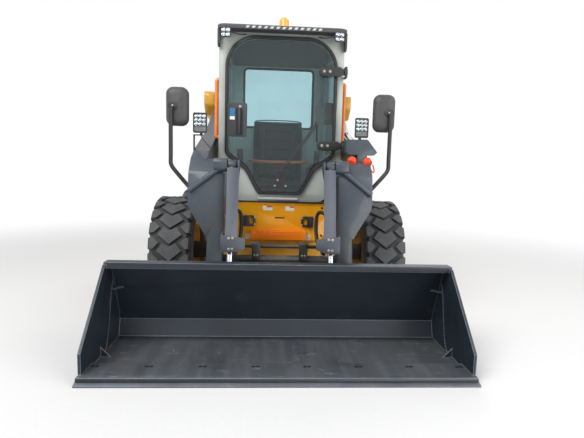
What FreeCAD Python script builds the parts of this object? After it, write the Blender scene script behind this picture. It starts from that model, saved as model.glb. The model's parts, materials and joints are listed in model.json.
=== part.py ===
import FreeCAD, Part
import math
import os
import re
import Sketcher

# Skid steer loader, seen with its bucket towards -Y, up +Z and the operator's left at +X.
# All lengths are in millimetres and all angles in degrees.

doc = FreeCAD.newDocument("SkidSteerLoader")
sheet = doc.addObject("Spreadsheet::Sheet", "Sizes")

# Sizes by group: name, value or formula
SIZES = {
    "Overall": (
        ("overall_width", 2000), ("overall_length", 3450), ("overall_height", 2210),
        ("fit_gap", 0.3), ("pin_play", 0.5), ("side_play", 6),
    ),
    "Wheels": (
        ("tyre_radius", 414), ("tyre_width", 300), ("track_half", 765),
        ("front_axle_y", -287), ("rear_axle_y", 815),
        ("bead_height", 21), ("sidewall_rise", 66), ("shoulder_drop", 50), ("shoulder_run", 34),
        ("lug_depth", 24), ("lug_count", 22), ("lug_half", 85), ("lug_peak_x", 45), ("lug_peak", 55),
        ("lug_notch", 31), ("lug_tip", 69), ("side_lug_in", 72), ("side_lug_mid", 110),
        ("side_lug_up", 34), ("side_lug_down", 44), ("side_lug_edge", 3), ("tread_corner", 30),
        ("rim_radius", 208), ("rim_half", 120), ("rim_lip", 17), ("rim_flange", 7), ("rim_wall", 9),
        ("disc_offset", 34), ("disc_thick", 12), ("hand_hole_radius", 15), ("hand_hole_circle", 176),
        ("hand_hole_count", 5), ("hub_bore_radius", 62), ("hub_radius", 80), ("hub_flange_radius", 152),
        ("hub_flange_thick", 18), ("hub_nose", 26), ("hub_nose_step", 14), ("hub_space", 10),
        ("axle_radius", 64), ("axle_end_x", 655), ("axle_flange_radius", 98), ("axle_flange_thick", 22),
        ("spindle_radius", 32), ("spindle_end_x", 780),
    ),
    "Lower frame": (
        ("bumper_depth", 85), ("hull_half", 455), ("hull_wall", 25), ("hull_cross_wall", 30),
        ("hull_front_y", -405), ("hull_rear_y", "=overall_length / 2 - bumper_depth"),
        ("hull_low_z", 215), ("hull_nose_z", 300), ("hull_nose_run", 75), ("hull_tail_y", 1150),
        ("hull_tail_z", 400), ("deck_z", 815), ("bay_z", 640), ("bulkhead_y", 470),
        ("foot_floor_z", 540), ("bay_floor_z", 330), ("bay_shelf_z", 430),
    ),
    "Towers": (
        ("boom_pivot_y", 900), ("boom_pivot_z", 1640), ("cheek_thick", 25), ("cheek_front_y", 580),
        ("cheek_low_z", 520), ("tower_in", 604), ("tower_out", 655), ("head_out", 690),
        ("tower_front_y", 640), ("tower_rear_y", 1060), ("tower_low_z", 880), ("tower_round", 50),
        ("head_radius", 122), ("head_round", 108), ("head_low_z", 1545), ("nose_y", 530),
        ("nose_low_z", 1635), ("tower_plate", 28), ("pivot_pin_radius", 35), ("pin_cap_radius", 57),
        ("pin_cap_thick", 8),
    ),
    "Lift cylinders": (
        ("lift_base_y", 1029), ("lift_base_z", 648), ("lift_eye_run", 400), ("lift_eye_drop", 150),
        ("lift_centre_x", 543), ("lift_eye_width", 76), ("lift_eye_radius", 42),
        ("lift_pin_radius", 24), ("lift_barrel_radius", 43), ("lift_rod_radius", 23),
        ("lift_barrel_length", 640), ("lift_rod_tuck", 12), ("bracket_thick", 12), ("bracket_half", 62),
        ("bracket_round", 38), ("bracket_rise", 40), ("shelf_thick", 26), ("shelf_space", 14),
        ("gland_rise", 4), ("gland_length", 40), ("bore_start", 24),
    ),
    "Boom arms": (
        ("arm_out", 597), ("beam_in", 490), ("leg_in", 372), ("leg_out", 470),
        ("beam_half", 100), ("beam_run", 1040), ("beam_slope", 22.5), ("beam_round", 150),
        ("shoulder_y", -660), ("shoulder_z", 1173), ("shoulder_round", 120),
        ("crest_y", -790), ("crest_z", 1115), ("brow_y", -880), ("brow_z", 1030), ("brow_round", 60),
        ("face_y", -900), ("face_z", 930), ("chin_y", -908), ("chin_z", 780),
        ("knee_top_z", 1100), ("knee_back_y", -595), ("knee_back_z", 880),
        ("throat_y", -400), ("throat_z", 1025), ("throat_round", 160), ("knee_low_y", -660),
        ("knee_low_z", 740), ("corner_width", 56), ("corner_drop", 90),
        ("leg_top_front_y", -925), ("leg_top_rear_y", -770), ("leg_top_z", 615),
        ("bucket_pin_y", -970), ("bucket_pin_z", 215), ("leg_end_radius", 62), ("bucket_pin_radius", 26),
        ("arch_top_z", 813), ("arch_low_z", 600), ("arch_round", 160),
        ("lug_plate", 14), ("lug_foot", 120), ("lug_top", 46), ("lug_over", 44), ("lug_bury", 60),
        ("pocket_half", 110), ("pocket_depth", 45),
        ("cross_tube_y", -868), ("cross_tube_z", 458), ("cross_tube_radius", 32),
        ("tie_bar_z", 549), ("tie_bar_radius", 12), ("clamp_in", 128), ("clamp_out", 182), ("clamp_half", 30),
        ("arm_bar_radius", 19), ("arm_bar_top_x", 365), ("arm_bar_top_z", 1080), ("arm_bar_low_x", 587),
        ("arm_bar_low_z", 905),
    ),
    "Tilt cylinders": (
        ("tilt_base_y", -870), ("tilt_base_z", 1075), ("tilt_eye_y", -1051), ("tilt_eye_z", 365),
        ("tilt_centre_x", 318), ("tilt_eye_width", 50), ("tilt_eye_radius", 34),
        ("tilt_pin_radius", 20), ("tilt_barrel_radius", 31), ("tilt_rod_radius", 18),
        ("tilt_barrel_length", 500), ("tilt_rod_tuck", 66), ("boss_half", 44), ("boss_round", 30),
    ),
    "Tilt cylinder guards": (
        ("guard_in", 270), ("guard_out", 345), ("guard_thick", 8), ("guard_top_y", -925),
        ("guard_top_z", 1060), ("guard_low_y", -1049), ("guard_low_z", 612), ("guard_cheek_half", 34),
        ("pad_thick", 10), ("pad_low_z", 540), ("pad_top_z", 648), ("pad_tip_x", 222),
        ("pad_tip_low_z", 563), ("pad_tip_top_z", 628), ("pad_foot_x", 278), ("pad_rear_y", -880),
    ),
    "Quick coupler": (
        ("ear_thick", 16), ("coupler_half", 560), ("coupler_plate", 16), ("coupler_low", 20),
        ("coupler_high", 350), ("coupler_border", 90), ("ear_round", 34),
    ),
    "Bucket": (
        ("edge_half", "=overall_width / 2"), ("edge_y", "=-overall_length / 2"), ("edge_depth", 165),
        ("edge_thick", 18), ("edge_tip", 9), ("edge_bevel", 28), ("edge_overhang", 4),
        ("bucket_half", "=edge_half - edge_overhang"), ("lip_y", "=edge_y + 20"), ("lip_depth", 185),
        ("lip_thick", 20), ("side_plate_thick", 16), ("floor_rear_y", -1100), ("floor_z", 18),
        ("heel_y", -1069), ("heel_z", 120), ("bucket_top_z", 518), ("bucket_lean", 22.3),
        ("bucket_top_y", "=heel_y - (bucket_top_z - heel_z) * tan(bucket_lean * 1deg)"),
        ("bucket_skin", 10), ("rail_height", 36), ("rail_depth", 60), ("side_foot_run", 57),
        ("side_nose_z", 145), ("side_brow_y", -1310), ("side_brow_drop", 14), ("side_round", 30),
        ("gusset_leg", 55), ("gusset_thick", 10), ("gusset_low_y", -1400), ("gusset_high_z", 340),
        ("rib_depth", 34), ("rib_thick", 12), ("rib_near_x", 640), ("rib_far_x", 860),
    ),
    "Cab": (
        ("cab_half", 450), ("cab_wall", 35), ("cab_front_y", -425), ("cab_frame_depth", 30),
        ("cab_rear_y", 470), ("cab_top_z", 2030), ("roof_z", 2056), ("roof_half", 462),
        ("roof_round", 60), ("visor_y", -520), ("visor_low_z", 1915), ("visor_round", 34),
        ("visor_plate", 16), ("side_window_front_y", -320), ("side_window_rear_y", 340),
        ("side_window_low_z", 1190), ("side_window_top_z", 1945), ("rear_window_half", 325),
        ("rear_window_low_z", 1420), ("rear_window_top_z", 1965), ("window_corner", 45),
        ("pane_setback", 20), ("glass_thick", 6), ("cab_lean", 20), ("cab_frame_half", 455),
        ("frame_low_half", 306), ("frame_low_z", "=deck_z + fit_gap"), ("frame_side_low_z", 1080),
        ("frame_flare", 60), ("frame_flare_z", 852), ("frame_round", 120),
    ),
    "Door": (
        ("door_half", 408), ("door_top_z", 2006), ("door_arch_radius", 225),
        ("door_side_low_z", 1155), ("door_side_round", 70), ("door_waist_half", 262),
        ("door_waist_z", 1052), ("door_waist_round", 90), ("door_foot_half", 172), ("door_foot_z", 885),
        ("door_foot_round", 30), ("door_low_z", 865), ("door_low_half", 150), ("door_gap", 6),
        ("door_frame_width", 16), ("door_frame_thick", 18), ("door_overlap", 20), ("pane_inset", 6),
        ("hinge_x", 463), ("hinge_y", -470), ("hinge_high_z", 1766), ("hinge_low_z", 1236),
        ("hinge_radius", 14), ("hinge_pin_radius", 8), ("hinge_ear", 10), ("strap_half", 22),
        ("strap_in_x", 285), ("strap_thick", 9), ("latch_near_x", -246), ("latch_far_x", -388),
        ("latch_low_z", 1285), ("latch_top_z", 1525), ("latch_round", 16), ("latch_depth", 24),
        ("handle_x", -301), ("handle_low_z", 1305), ("handle_top_z", 1480), ("handle_radius", 9),
        ("handle_reach", 44), ("wiper_x", 6), ("wiper_low_z", 917), ("wiper_top_z", 1087),
        ("wiper_half", 61), ("wiper_plate", 10), ("wiper_round", 16), ("wiper_arm_radius", 5),
        ("wiper_end_x", 268), ("wiper_end_z", 1395), ("wiper_spread", 16), ("blade_radius", 6),
        ("blade_half", 130),
    ),
    "Rear body": (
        ("hood_low_z", 1130), ("hood_front_z", 1236), ("hood_rear_z", 1196), ("hood_lip", 30),
        ("hood_tail_run", 120), ("hood_slope_run", 420), ("hood_edge_round", 20), ("hood_tail_round", 60),
        ("hood_sweep_round", 200), ("vent_half", 300), ("vent_width", 20), ("vent_pitch", 44),
        ("vent_start", 220), ("panel_thick", 14), ("slot_height", 22), ("slot_pitch", 50),
        ("slot_start", 120), ("slot_margin", 60), ("gate_gap", 8), ("gate_thick", 50), ("gate_half", 432),
        ("gate_low_z", 485), ("gate_top_z", 1124), ("gate_round", 45), ("gate_hinge_x", -447),
        ("gate_hinge_offset", 40), ("grille_half", 320), ("grille_start", 300), ("knuckle_height", 60),
        ("knuckle_low_rise", 200), ("knuckle_high_drop", 120), ("hinge_leaf", 12), ("hinge_reach", 18),
        ("bumper_half", 520), ("bumper_low_z", 330), ("bumper_top_z", 472), ("bumper_chamfer", 60),
        ("hitch_offset", 34), ("hitch_radius", 16), ("hitch_half", 60), ("hitch_floor", 50),
        ("hitch_roof", 40),
        ("engine_half", 250), ("engine_front_y", 640), ("engine_rear_y", 1280), ("engine_top_z", 960),
        ("head_cover_half", 150), ("head_cover_inset", 90), ("exhaust_x", 330), ("exhaust_y", 800),
        ("exhaust_radius", 30), ("exhaust_wall", 3), ("exhaust_top_z", 1345), ("tail_lamp_out", 50),
        ("tail_lamp_low", 190), ("tail_lamp_high", 300), ("tail_lamp_rear", 10), ("tail_lamp_front", 80),
    ),
    "Seat and controls": (
        ("seat_half", 235), ("seat_front_y", -60), ("seat_base_top_z", 868), ("cushion_z", 965),
        ("seat_back_y", 300), ("seat_rear_y", 400), ("seat_top_z", 1500), ("seat_base_half", 215),
        ("seat_round", 30), ("console_in", 262), ("console_out", 372), ("console_z", 1075),
        ("console_drop", 60), ("lever_radius", 11), ("grip_radius", 23), ("grip_length", 100),
        ("lever_top_z", 1210), ("lever_setback", 10),
    ),
    "Front panel and step": (
        ("front_panel_half", 350), ("front_panel_thick", 18), ("front_panel_low_z", 520),
        ("front_panel_top_z", 796), ("front_panel_round", 60), ("roll_radius", 12), ("grip_x", 10),
        ("grip_half", 38), ("grip_z", 689), ("grip_height", 10), ("grip_depth", 9),
        ("step_half", 205), ("step_low_z", 535), ("step_top_z", 596), ("step_y", -505),
        ("step_plate", 8), ("step_flange", 22), ("step_tooth", 14), ("step_tooth_pitch", 41),
        ("loop_near", 172), ("loop_far", 262), ("loop_low_z", 624), ("loop_top_z", 706),
        ("loop_round", 26), ("loop_bar", 18), ("loop_block", 217), ("loop_block_depth", 34),
    ),
    "Fittings": (
        ("beacon_x", 17), ("beacon_y", -200), ("beacon_radius", 50), ("beacon_foot", 16),
        ("beacon_taper", 6), ("beacon_round", 20), ("cab_lamp_x", 399), ("cab_lamp_z", 1991),
        ("cab_lamp_half", 36), ("cab_lamp_y", -542), ("lamp_depth", 50), ("lamp_corner", 8),
        ("lamp_bezel", 7), ("lamp_recess", 5), ("lamp_taper", 14), ("arm_lamp_x", 550),
        ("arm_lamp_z", 1353), ("arm_lamp_y", -696), ("arm_lamp_half", 48), ("arm_lamp_tall", 68),
        ("lamp_arm", 6), ("lamp_arm_half", 20), ("mirror_x", 700), ("mirror_y", -700),
        ("mirror_z", 1456), ("mirror_half_width", 76), ("mirror_half_height", 128),
        ("mirror_depth", 54), ("mirror_corner", 26), ("mirror_taper", 16), ("mirror_rim", 14),
        ("mirror_tube_x", 736), ("mirror_tube_radius", 14), ("mirror_bend_z", 1079),
        ("mirror_foot_z", 921), ("mirror_foot_half", 32), ("mirror_foot_thick", 9),
        ("mirror_boss_radius", 22), ("rail_x", 474), ("rail_y", -330), ("rail_low_z", 1272),
        ("rail_top_z", 1715), ("rail_radius", 9), ("block_front_y", -785), ("block_rear_y", -690),
        ("block_low_z", 1166), ("block_top_z", 1268), ("block_in", 432), ("block_out", 645),
        ("block_slant", 66), ("block_waist_z", 1186), ("block_under", 20),
    ),
}

row = 0
for group, entries in SIZES.items():
    row += 1
    sheet.set(f"A{row}", group)
    for alias, value in entries:
        row += 1
        sheet.set(f"A{row}", alias)
        sheet.set(f"B{row}", str(value))
        sheet.setAlias(f"B{row}", alias)
doc.recompute()

# Building blocks: every rule is a formula in the names above

NAME = re.compile(r"\b[a-z]+_[a-z_0-9]+\b")
SUB_PARTS = []


def bind(target, prop, rule):
    """Tie one property to a formula in the sheet's names."""
    target.setExpression(prop, NAME.sub(r"Sizes.\g<0>", str(rule)))


def sub_part(label, solid):
    """Keep a finished piece under the name of its file."""
    solid.Label = label
    SUB_PARTS.append(solid)
    return solid


def new_body(name):
    return doc.addObject("PartDesign::Body", name)


def origin_feature(body, role):
    return [item for item in body.Origin.OriginFeatures if item.Role == role][0]


def new_sketch(body, plane, level, turn=""):
    """An empty sketch on one of the body's own planes, raised along its normal and turned about x."""
    sketch = body.newObject("Sketcher::SketchObject", body.Name + "_sketch")
    sketch.AttachmentSupport = [(origin_feature(body, plane + "_Plane"), "")]
    sketch.MapMode = "FlatFace"
    if turn:
        sketch.AttachmentOffset = FreeCAD.Placement(FreeCAD.Vector(),
                                                    FreeCAD.Rotation(FreeCAD.Vector(1, 0, 0), 1))
        bind(sketch, "AttachmentOffset.Rotation.Angle", turn)
        bind(sketch, "AttachmentOffset.Base.y", f"-({level}) * sin({turn})")
        bind(sketch, "AttachmentOffset.Base.z", f"({level}) * cos({turn})")
    else:
        bind(sketch, "AttachmentOffset.Base.z", level)
    return sketch


def draw_polygon(sketch, corners):
    """A closed polygon whose corners are tied to (across, up) formulas."""
    count = len(corners)
    turn = 2 * math.pi / count
    spots = [FreeCAD.Vector(100 * math.cos(turn * i), 100 * math.sin(turn * i), 0) for i in range(count)]
    first = sketch.GeometryCount
    for i in range(count):
        sketch.addGeometry(Part.LineSegment(spots[i], spots[(i + 1) % count]), False)
    for i in range(count):
        sketch.addConstraint(Sketcher.Constraint("Coincident", first + i, 2, first + (i + 1) % count, 1))
    for i, corner in enumerate(corners):
        for kind, axis, rule in (("DistanceX", "x", corner[0]), ("DistanceY", "y", corner[1])):
            tie = sketch.addConstraint(Sketcher.Constraint(kind, -1, 1, first + i, 1, spots[i][axis == "y"]))
            sketch.renameConstraint(tie, f"{axis}{first + i}")
            bind(sketch, f"Constraints.{axis}{first + i}", rule)


def draw_circle(sketch, across, up, radius):
    """A circle whose centre and radius are tied to formulas."""
    index = sketch.addGeometry(Part.Circle(FreeCAD.Vector(0, 0, 0), FreeCAD.Vector(0, 0, 1), 10), False)
    for name, rule, constraint in (
        ("x", across, Sketcher.Constraint("DistanceX", -1, 1, index, 3, 1.0)),
        ("y", up, Sketcher.Constraint("DistanceY", -1, 1, index, 3, 1.0)),
        ("r", radius, Sketcher.Constraint("Radius", index, 10.0)),
    ):
        tie = sketch.addConstraint(constraint)
        sketch.renameConstraint(tie, f"{name}{index}")
        bind(sketch, f"Constraints.{name}{index}", rule)


def round_corners(body, sketch, corners):
    """Fillet the upright edges that stand on the corners which carry a radius."""
    groups = {}
    for i, corner in enumerate(corners):
        if len(corner) == 3:
            groups.setdefault(corner[2], []).append(i)
    for radius, members in groups.items():
        doc.recompute()
        normal = sketch.Placement.Rotation.multVec(FreeCAD.Vector(0, 0, 1))
        feet = [sketch.Placement.multVec(sketch.Geometry[i].StartPoint) for i in members]
        base = body.Tip
        names = []
        for number, edge in enumerate(base.Shape.Edges, 1):
            if len(edge.Vertexes) != 2:
                continue
            start, end = edge.Vertexes[0].Point, edge.Vertexes[1].Point
            along = (end - start).cross(normal).Length < 0.01
            if along and any((foot - start).cross(normal).Length < 0.01 for foot in feet):
                names.append(f"Edge{number}")
        fillet = body.newObject("PartDesign::Fillet", body.Name + "_fillet")
        fillet.Base = (base, names)
        bind(fillet, "Radius", radius)
        body.Tip = fillet


def pad(body, plane, corners, low, high, turn=""):
    """A slab with a polygon outline between two levels along the plane's normal."""
    sketch = new_sketch(body, plane, low, turn)
    draw_polygon(sketch, corners)
    feature = body.newObject("PartDesign::Pad", body.Name + "_pad")
    feature.Profile = sketch
    bind(feature, "Length", f"({high}) - ({low})")
    body.Tip = feature
    round_corners(body, sketch, corners)
    return feature


def slab(name, plane, corners, low, high):
    body = new_body(name)
    pad(body, plane, corners, low, high)
    return body


def revolve(body, kind, plane, outlines, axis):
    """Turn outlines about an axis of their sketch, as a Revolution that adds or a Groove that cuts."""
    sketch = new_sketch(body, plane, "0")
    for outline in outlines:
        draw_polygon(sketch, outline)
    ring = body.newObject("PartDesign::" + kind, body.Name + "_ring")
    ring.Profile = sketch
    ring.ReferenceAxis = (sketch, [axis])
    body.Tip = ring


def around_x(body, features, count):
    """Repeat features evenly about the body's x axis."""
    pattern = body.newObject("PartDesign::PolarPattern", body.Name + "_pattern")
    pattern.Originals = features
    pattern.Axis = (origin_feature(body, "X_Axis"), [""])
    pattern.Angle = 360
    bind(pattern, "Occurrences", count)
    body.Tip = pattern


def taper(name, plane, low_corners, high_corners, low, high):
    """A solid that narrows from one outline to another with as many corners."""
    body = new_body(name)
    sketches = []
    for corners, level in ((low_corners, low), (high_corners, high)):
        sketch = new_sketch(body, plane, level)
        draw_polygon(sketch, corners)
        sketches.append(sketch)
    loft = body.newObject("PartDesign::AdditiveLoft", name + "_loft")
    loft.Profile = sketches[0]
    loft.Sections = [sketches[1]]
    loft.Ruled = True
    body.Tip = loft
    return body


def cut_rectangle(across, up, half_width, half_height, corner):
    """A rectangle about a centre with its four corners cut off."""
    left, right = f"{across} - ({half_width})", f"{across} + ({half_width})"
    low, top = f"{up} - ({half_height})", f"{up} + ({half_height})"
    return (
        (f"{right} - ({corner})", top), (right, f"{top} - ({corner})"),
        (right, f"{low} + ({corner})"), (f"{right} - ({corner})", low),
        (f"{left} + ({corner})", low), (left, f"{low} + ({corner})"),
        (left, f"{top} - ({corner})"), (f"{left} + ({corner})", top),
    )


def box(name, x, y, z):
    """A block between two rules along each axis."""
    block = doc.addObject("Part::Box", name)
    for prop, axis, (low, high) in (("Length", "x", x), ("Width", "y", y), ("Height", "z", z)):
        bind(block, prop, f"({high}) - ({low})")
        bind(block, f"Placement.Base.{axis}", low)
    return block


TURNS = {
    "x": FreeCAD.Rotation(FreeCAD.Vector(0, 1, 0), 90),
    "y": FreeCAD.Rotation(FreeCAD.Vector(1, 0, 0), -90),
    "z": FreeCAD.Rotation(),
}


def rod(name, axis, limits, spot, radius):
    """A round bar between two limits along x, y or z, at a spot given by its two other coordinates."""
    bar = doc.addObject("Part::Cylinder", name)
    bar.Placement.Rotation = TURNS[axis]
    bind(bar, "Radius", radius)
    bind(bar, "Height", f"({limits[1]}) - ({limits[0]})")
    others = iter(spot)
    for part in "xyz":
        bind(bar, f"Placement.Base.{part}", limits[0] if part == axis else next(others))
    return bar


def slant_rod(name, start, end, radius):
    """A round bar between two points that aren't above each other."""
    bar = doc.addObject("Part::Cylinder", name)
    run_x, run_y, run_z = (f"(({far}) - ({near}))" for near, far in zip(start, end))
    length = f"sqrt({run_x}^2 + {run_y}^2 + {run_z}^2)"
    turn = f"rotation(vector(-{run_y}; {run_x}; 0); acos({run_z} / {length}))"
    bind(bar, "Radius", radius)
    bind(bar, "Height", length)
    bind(bar, "Placement", f"placement(vector({start[0]}; {start[1]}; {start[2]}); {turn})")
    return bar


def ball(name, centre, radius):
    knob = doc.addObject("Part::Sphere", name)
    bind(knob, "Radius", radius)
    for part, rule in zip("xyz", centre):
        bind(knob, f"Placement.Base.{part}", rule)
    return knob


def fuse(name, shapes):
    joined = doc.addObject("Part::MultiFuse", name)
    joined.Shapes = shapes
    return joined


def cut(name, base, tools):
    """Take one tool or several away from a solid."""
    result = doc.addObject("Part::Cut", name)
    result.Base = base
    result.Tool = tools[0] if len(tools) == 1 else fuse(name + "_tools", tools)
    return result


def span(side, near, far):
    """The two x limits of something that lies between near and far on one side."""
    return (near, far) if side > 0 else (f"-({far})", f"-({near})")


def middle(rule, half):
    """Two limits at equal distances from a middle."""
    return f"{rule} - ({half})", f"{rule} + ({half})"


def mirrored(corners):
    """A left-right symmetric outline from its +X half, listed from the top middle downwards."""
    left = [("-(" + c[0] + ")",) + tuple(c[1:]) for c in reversed(corners)]
    return list(corners) + left


def handed(side, corners):
    """An outline for one side from the one for +X."""
    return [(f"{side} * ({c[0]})",) + tuple(c[1:]) for c in corners]


SIDES = (
    # name, side
    ("left", 1), ("right", -1),
)
WHEELS = (
    # name, side, axle
    ("front_left", 1, "front_axle_y"), ("front_right", -1, "front_axle_y"),
    ("rear_left", 1, "rear_axle_y"), ("rear_right", -1, "rear_axle_y"),
)

# Wheels: tyre, dished rim and hub on each of four corners

for wheel, side, axle in WHEELS:
    tyre = new_body("tyre_" + wheel)
    bead, tread = "(rim_half - fit_gap)", "(tyre_radius - lug_depth)"
    wall = (
        (bead, "rim_radius + fit_gap"), (bead, "rim_radius + bead_height"),
        ("tyre_width / 2", "rim_radius + sidewall_rise"), ("tyre_width / 2", f"{tread} - shoulder_drop"),
        ("tyre_width / 2 - shoulder_run", tread),
    )
    revolve(tyre, "Revolution", "XY", [mirrored(wall[::-1])], "H_Axis")
    lug_root, lug_crest = f"{tread} - shoulder_drop + 4", "sqrt(tyre_radius^2 - lug_tip^2)"
    lugs = [pad(tyre, "XY", (
        ("0", "lug_notch"), ("lug_peak_x", "lug_peak"), ("lug_half", "0"), ("0", "-lug_tip"),
        ("-lug_half", "0"), ("-lug_peak_x", "lug_peak"),
    ), f"{tread} - 4", lug_crest)]
    for hand in (1, -1):
        lugs.append(pad(tyre, "XY", handed(hand, (
            ("side_lug_in", "0"), ("side_lug_mid", "side_lug_up"),
            ("tyre_width / 2 - side_lug_edge", "side_lug_up"),
            ("tyre_width / 2 - side_lug_edge", "-side_lug_down"), ("side_lug_mid", "-side_lug_down"),
        )), lug_root, lug_crest, "180deg / lug_count"))
    around_x(tyre, lugs, "lug_count")
    revolve(tyre, "Groove", "XY", [handed(hand, (
        ("tyre_width / 2 + 6", "tyre_radius - tread_corner"), ("tyre_width / 2 + 6", "tyre_radius + 6"),
        ("tyre_width / 2 - tread_corner", "tyre_radius + 6"),
    )) for hand in (1, -1)], "H_Axis")

    rim = new_body("rim_" + wheel)
    flange, inner, lip = "rim_half + rim_flange", "rim_radius - rim_wall", "rim_radius + rim_lip"
    disc_face = "disc_offset + disc_thick"
    revolve(rim, "Revolution", "XY", [handed(side, (
        (f"-({flange})", inner), (f"-({flange})", lip), ("-rim_half", lip), ("-rim_half", "rim_radius"),
        ("rim_half", "rim_radius"), ("rim_half", lip), (flange, lip), (flange, inner),
        (disc_face, inner), (disc_face, "hub_bore_radius"), ("disc_offset", "hub_bore_radius"),
        ("disc_offset", inner),
    ))], "H_Axis")
    openings = new_sketch(rim, "YZ", "0")
    draw_circle(openings, "hand_hole_circle", "0", "hand_hole_radius")
    hand_hole = rim.newObject("PartDesign::Pocket", rim.Name + "_hand_hole")
    hand_hole.Profile = openings
    hand_hole.Midplane = True
    bind(hand_hole, "Length", "2 * rim_half")
    rim.Tip = hand_hole
    around_x(rim, [hand_hole], "hand_hole_count")

    hub = new_body("hub_" + wheel)
    back, face, nose = "axle_end_x - track_half + hub_space", "disc_offset - fit_gap", "disc_offset + disc_thick + hub_nose"
    revolve(hub, "Revolution", "XY", [handed(side, (
        (back, "spindle_radius + pin_play"), (back, "hub_radius"),
        (f"{face} - hub_flange_thick", "hub_radius"),
        (f"{face} - hub_flange_thick", "hub_flange_radius"), (face, "hub_flange_radius"),
        (face, "hub_bore_radius - fit_gap"), (nose, "hub_bore_radius - fit_gap"),
        (f"{nose} + hub_nose_step", "hub_bore_radius - hub_nose_step"), (f"{nose} + hub_nose_step", "0"),
        ("spindle_end_x - track_half + hub_space", "0"),
        ("spindle_end_x - track_half + hub_space", "spindle_radius + pin_play"),
    ))], "H_Axis")

    for piece in (tyre, rim, hub):
        bind(piece, "Placement.Base.x", f"{side} * track_half")
        bind(piece, "Placement.Base.y", axle)
        bind(piece, "Placement.Base.z", "tyre_radius")
        sub_part(piece.Name, piece)

AXLE_STEPS = (
    # name, from, to, radius
    ("flange", "hull_half + fit_gap", "hull_half + axle_flange_thick", "axle_flange_radius"),
    ("axle", "hull_half + fit_gap", "axle_end_x", "axle_radius"),
    ("spindle", "axle_end_x - 1", "spindle_end_x", "spindle_radius"),
)
sub_part("axle_tubes", fuse("axle_tubes", [
    rod(f"{step}_{wheel}", "x", span(side, near, far), (axle, "tyre_radius"), radius)
    for wheel, side, axle in WHEELS for step, near, far, radius in AXLE_STEPS
]))

# Lower frame: a tub with a foot well and an open engine bay, between two tall cheeks for the boom pins

tub = slab("tub", "YZ", (
    ("hull_front_y", "hull_nose_z"), ("hull_front_y + hull_nose_run", "hull_low_z"),
    ("hull_tail_y", "hull_low_z"),
    ("hull_rear_y", "hull_tail_z"), ("hull_rear_y", "bay_z"), ("bulkhead_y", "bay_z"),
    ("bulkhead_y", "deck_z"),
    ("hull_front_y", "deck_z"),
), "-hull_half", "hull_half")
inside = middle("0", "hull_half - hull_wall")
foot_well = box("foot_well", inside, ("hull_front_y + hull_wall", "bulkhead_y - hull_wall"),
                ("foot_floor_z", "deck_z + 1"))
engine_bay = box("engine_bay", inside, ("bulkhead_y + hull_cross_wall", "hull_rear_y - hull_cross_wall"),
                 ("bay_shelf_z", "bay_z + 1"))
engine_pan = box("engine_pan", inside, ("bulkhead_y + hull_cross_wall", "engine_rear_y + hull_wall"),
                 ("bay_floor_z", "bay_z"))
cheek_top = "boom_pivot_z + head_radius"
cheeks = []
bores = []
for hand, side in SIDES:
    cheeks.append(slab(f"cheek_{hand}", "YZ", (
        ("cheek_front_y", "cheek_low_z"), ("tower_rear_y", "cheek_low_z"),
        ("tower_rear_y", cheek_top, "head_round"),
        ("boom_pivot_y - head_radius", cheek_top, "head_round"),
        ("boom_pivot_y - head_radius", "boom_pivot_z"),
    ), *span(side, "hull_half", "hull_half + cheek_thick")))
    for pin, spot, radius in (
        ("boom", ("boom_pivot_y", "boom_pivot_z"), "pivot_pin_radius"),
        ("lift", ("lift_base_y", "lift_base_z"), "lift_pin_radius"),
    ):
        bores.append(rod(f"{pin}_bore_{hand}", "x", span(side, "hull_half", "hull_half + cheek_thick + 1"),
                         spot,
                         f"{radius} + fit_gap"))
sub_part("main_frame", cut("main_frame", fuse("tub_and_cheeks", [
    cut("hollow_tub", tub, [foot_well, engine_bay, engine_pan])] + cheeks), bores))

# Arm towers: an outer box with a nosed head and a rear plate round each arm's tail, and the lift cylinders' feet

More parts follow.
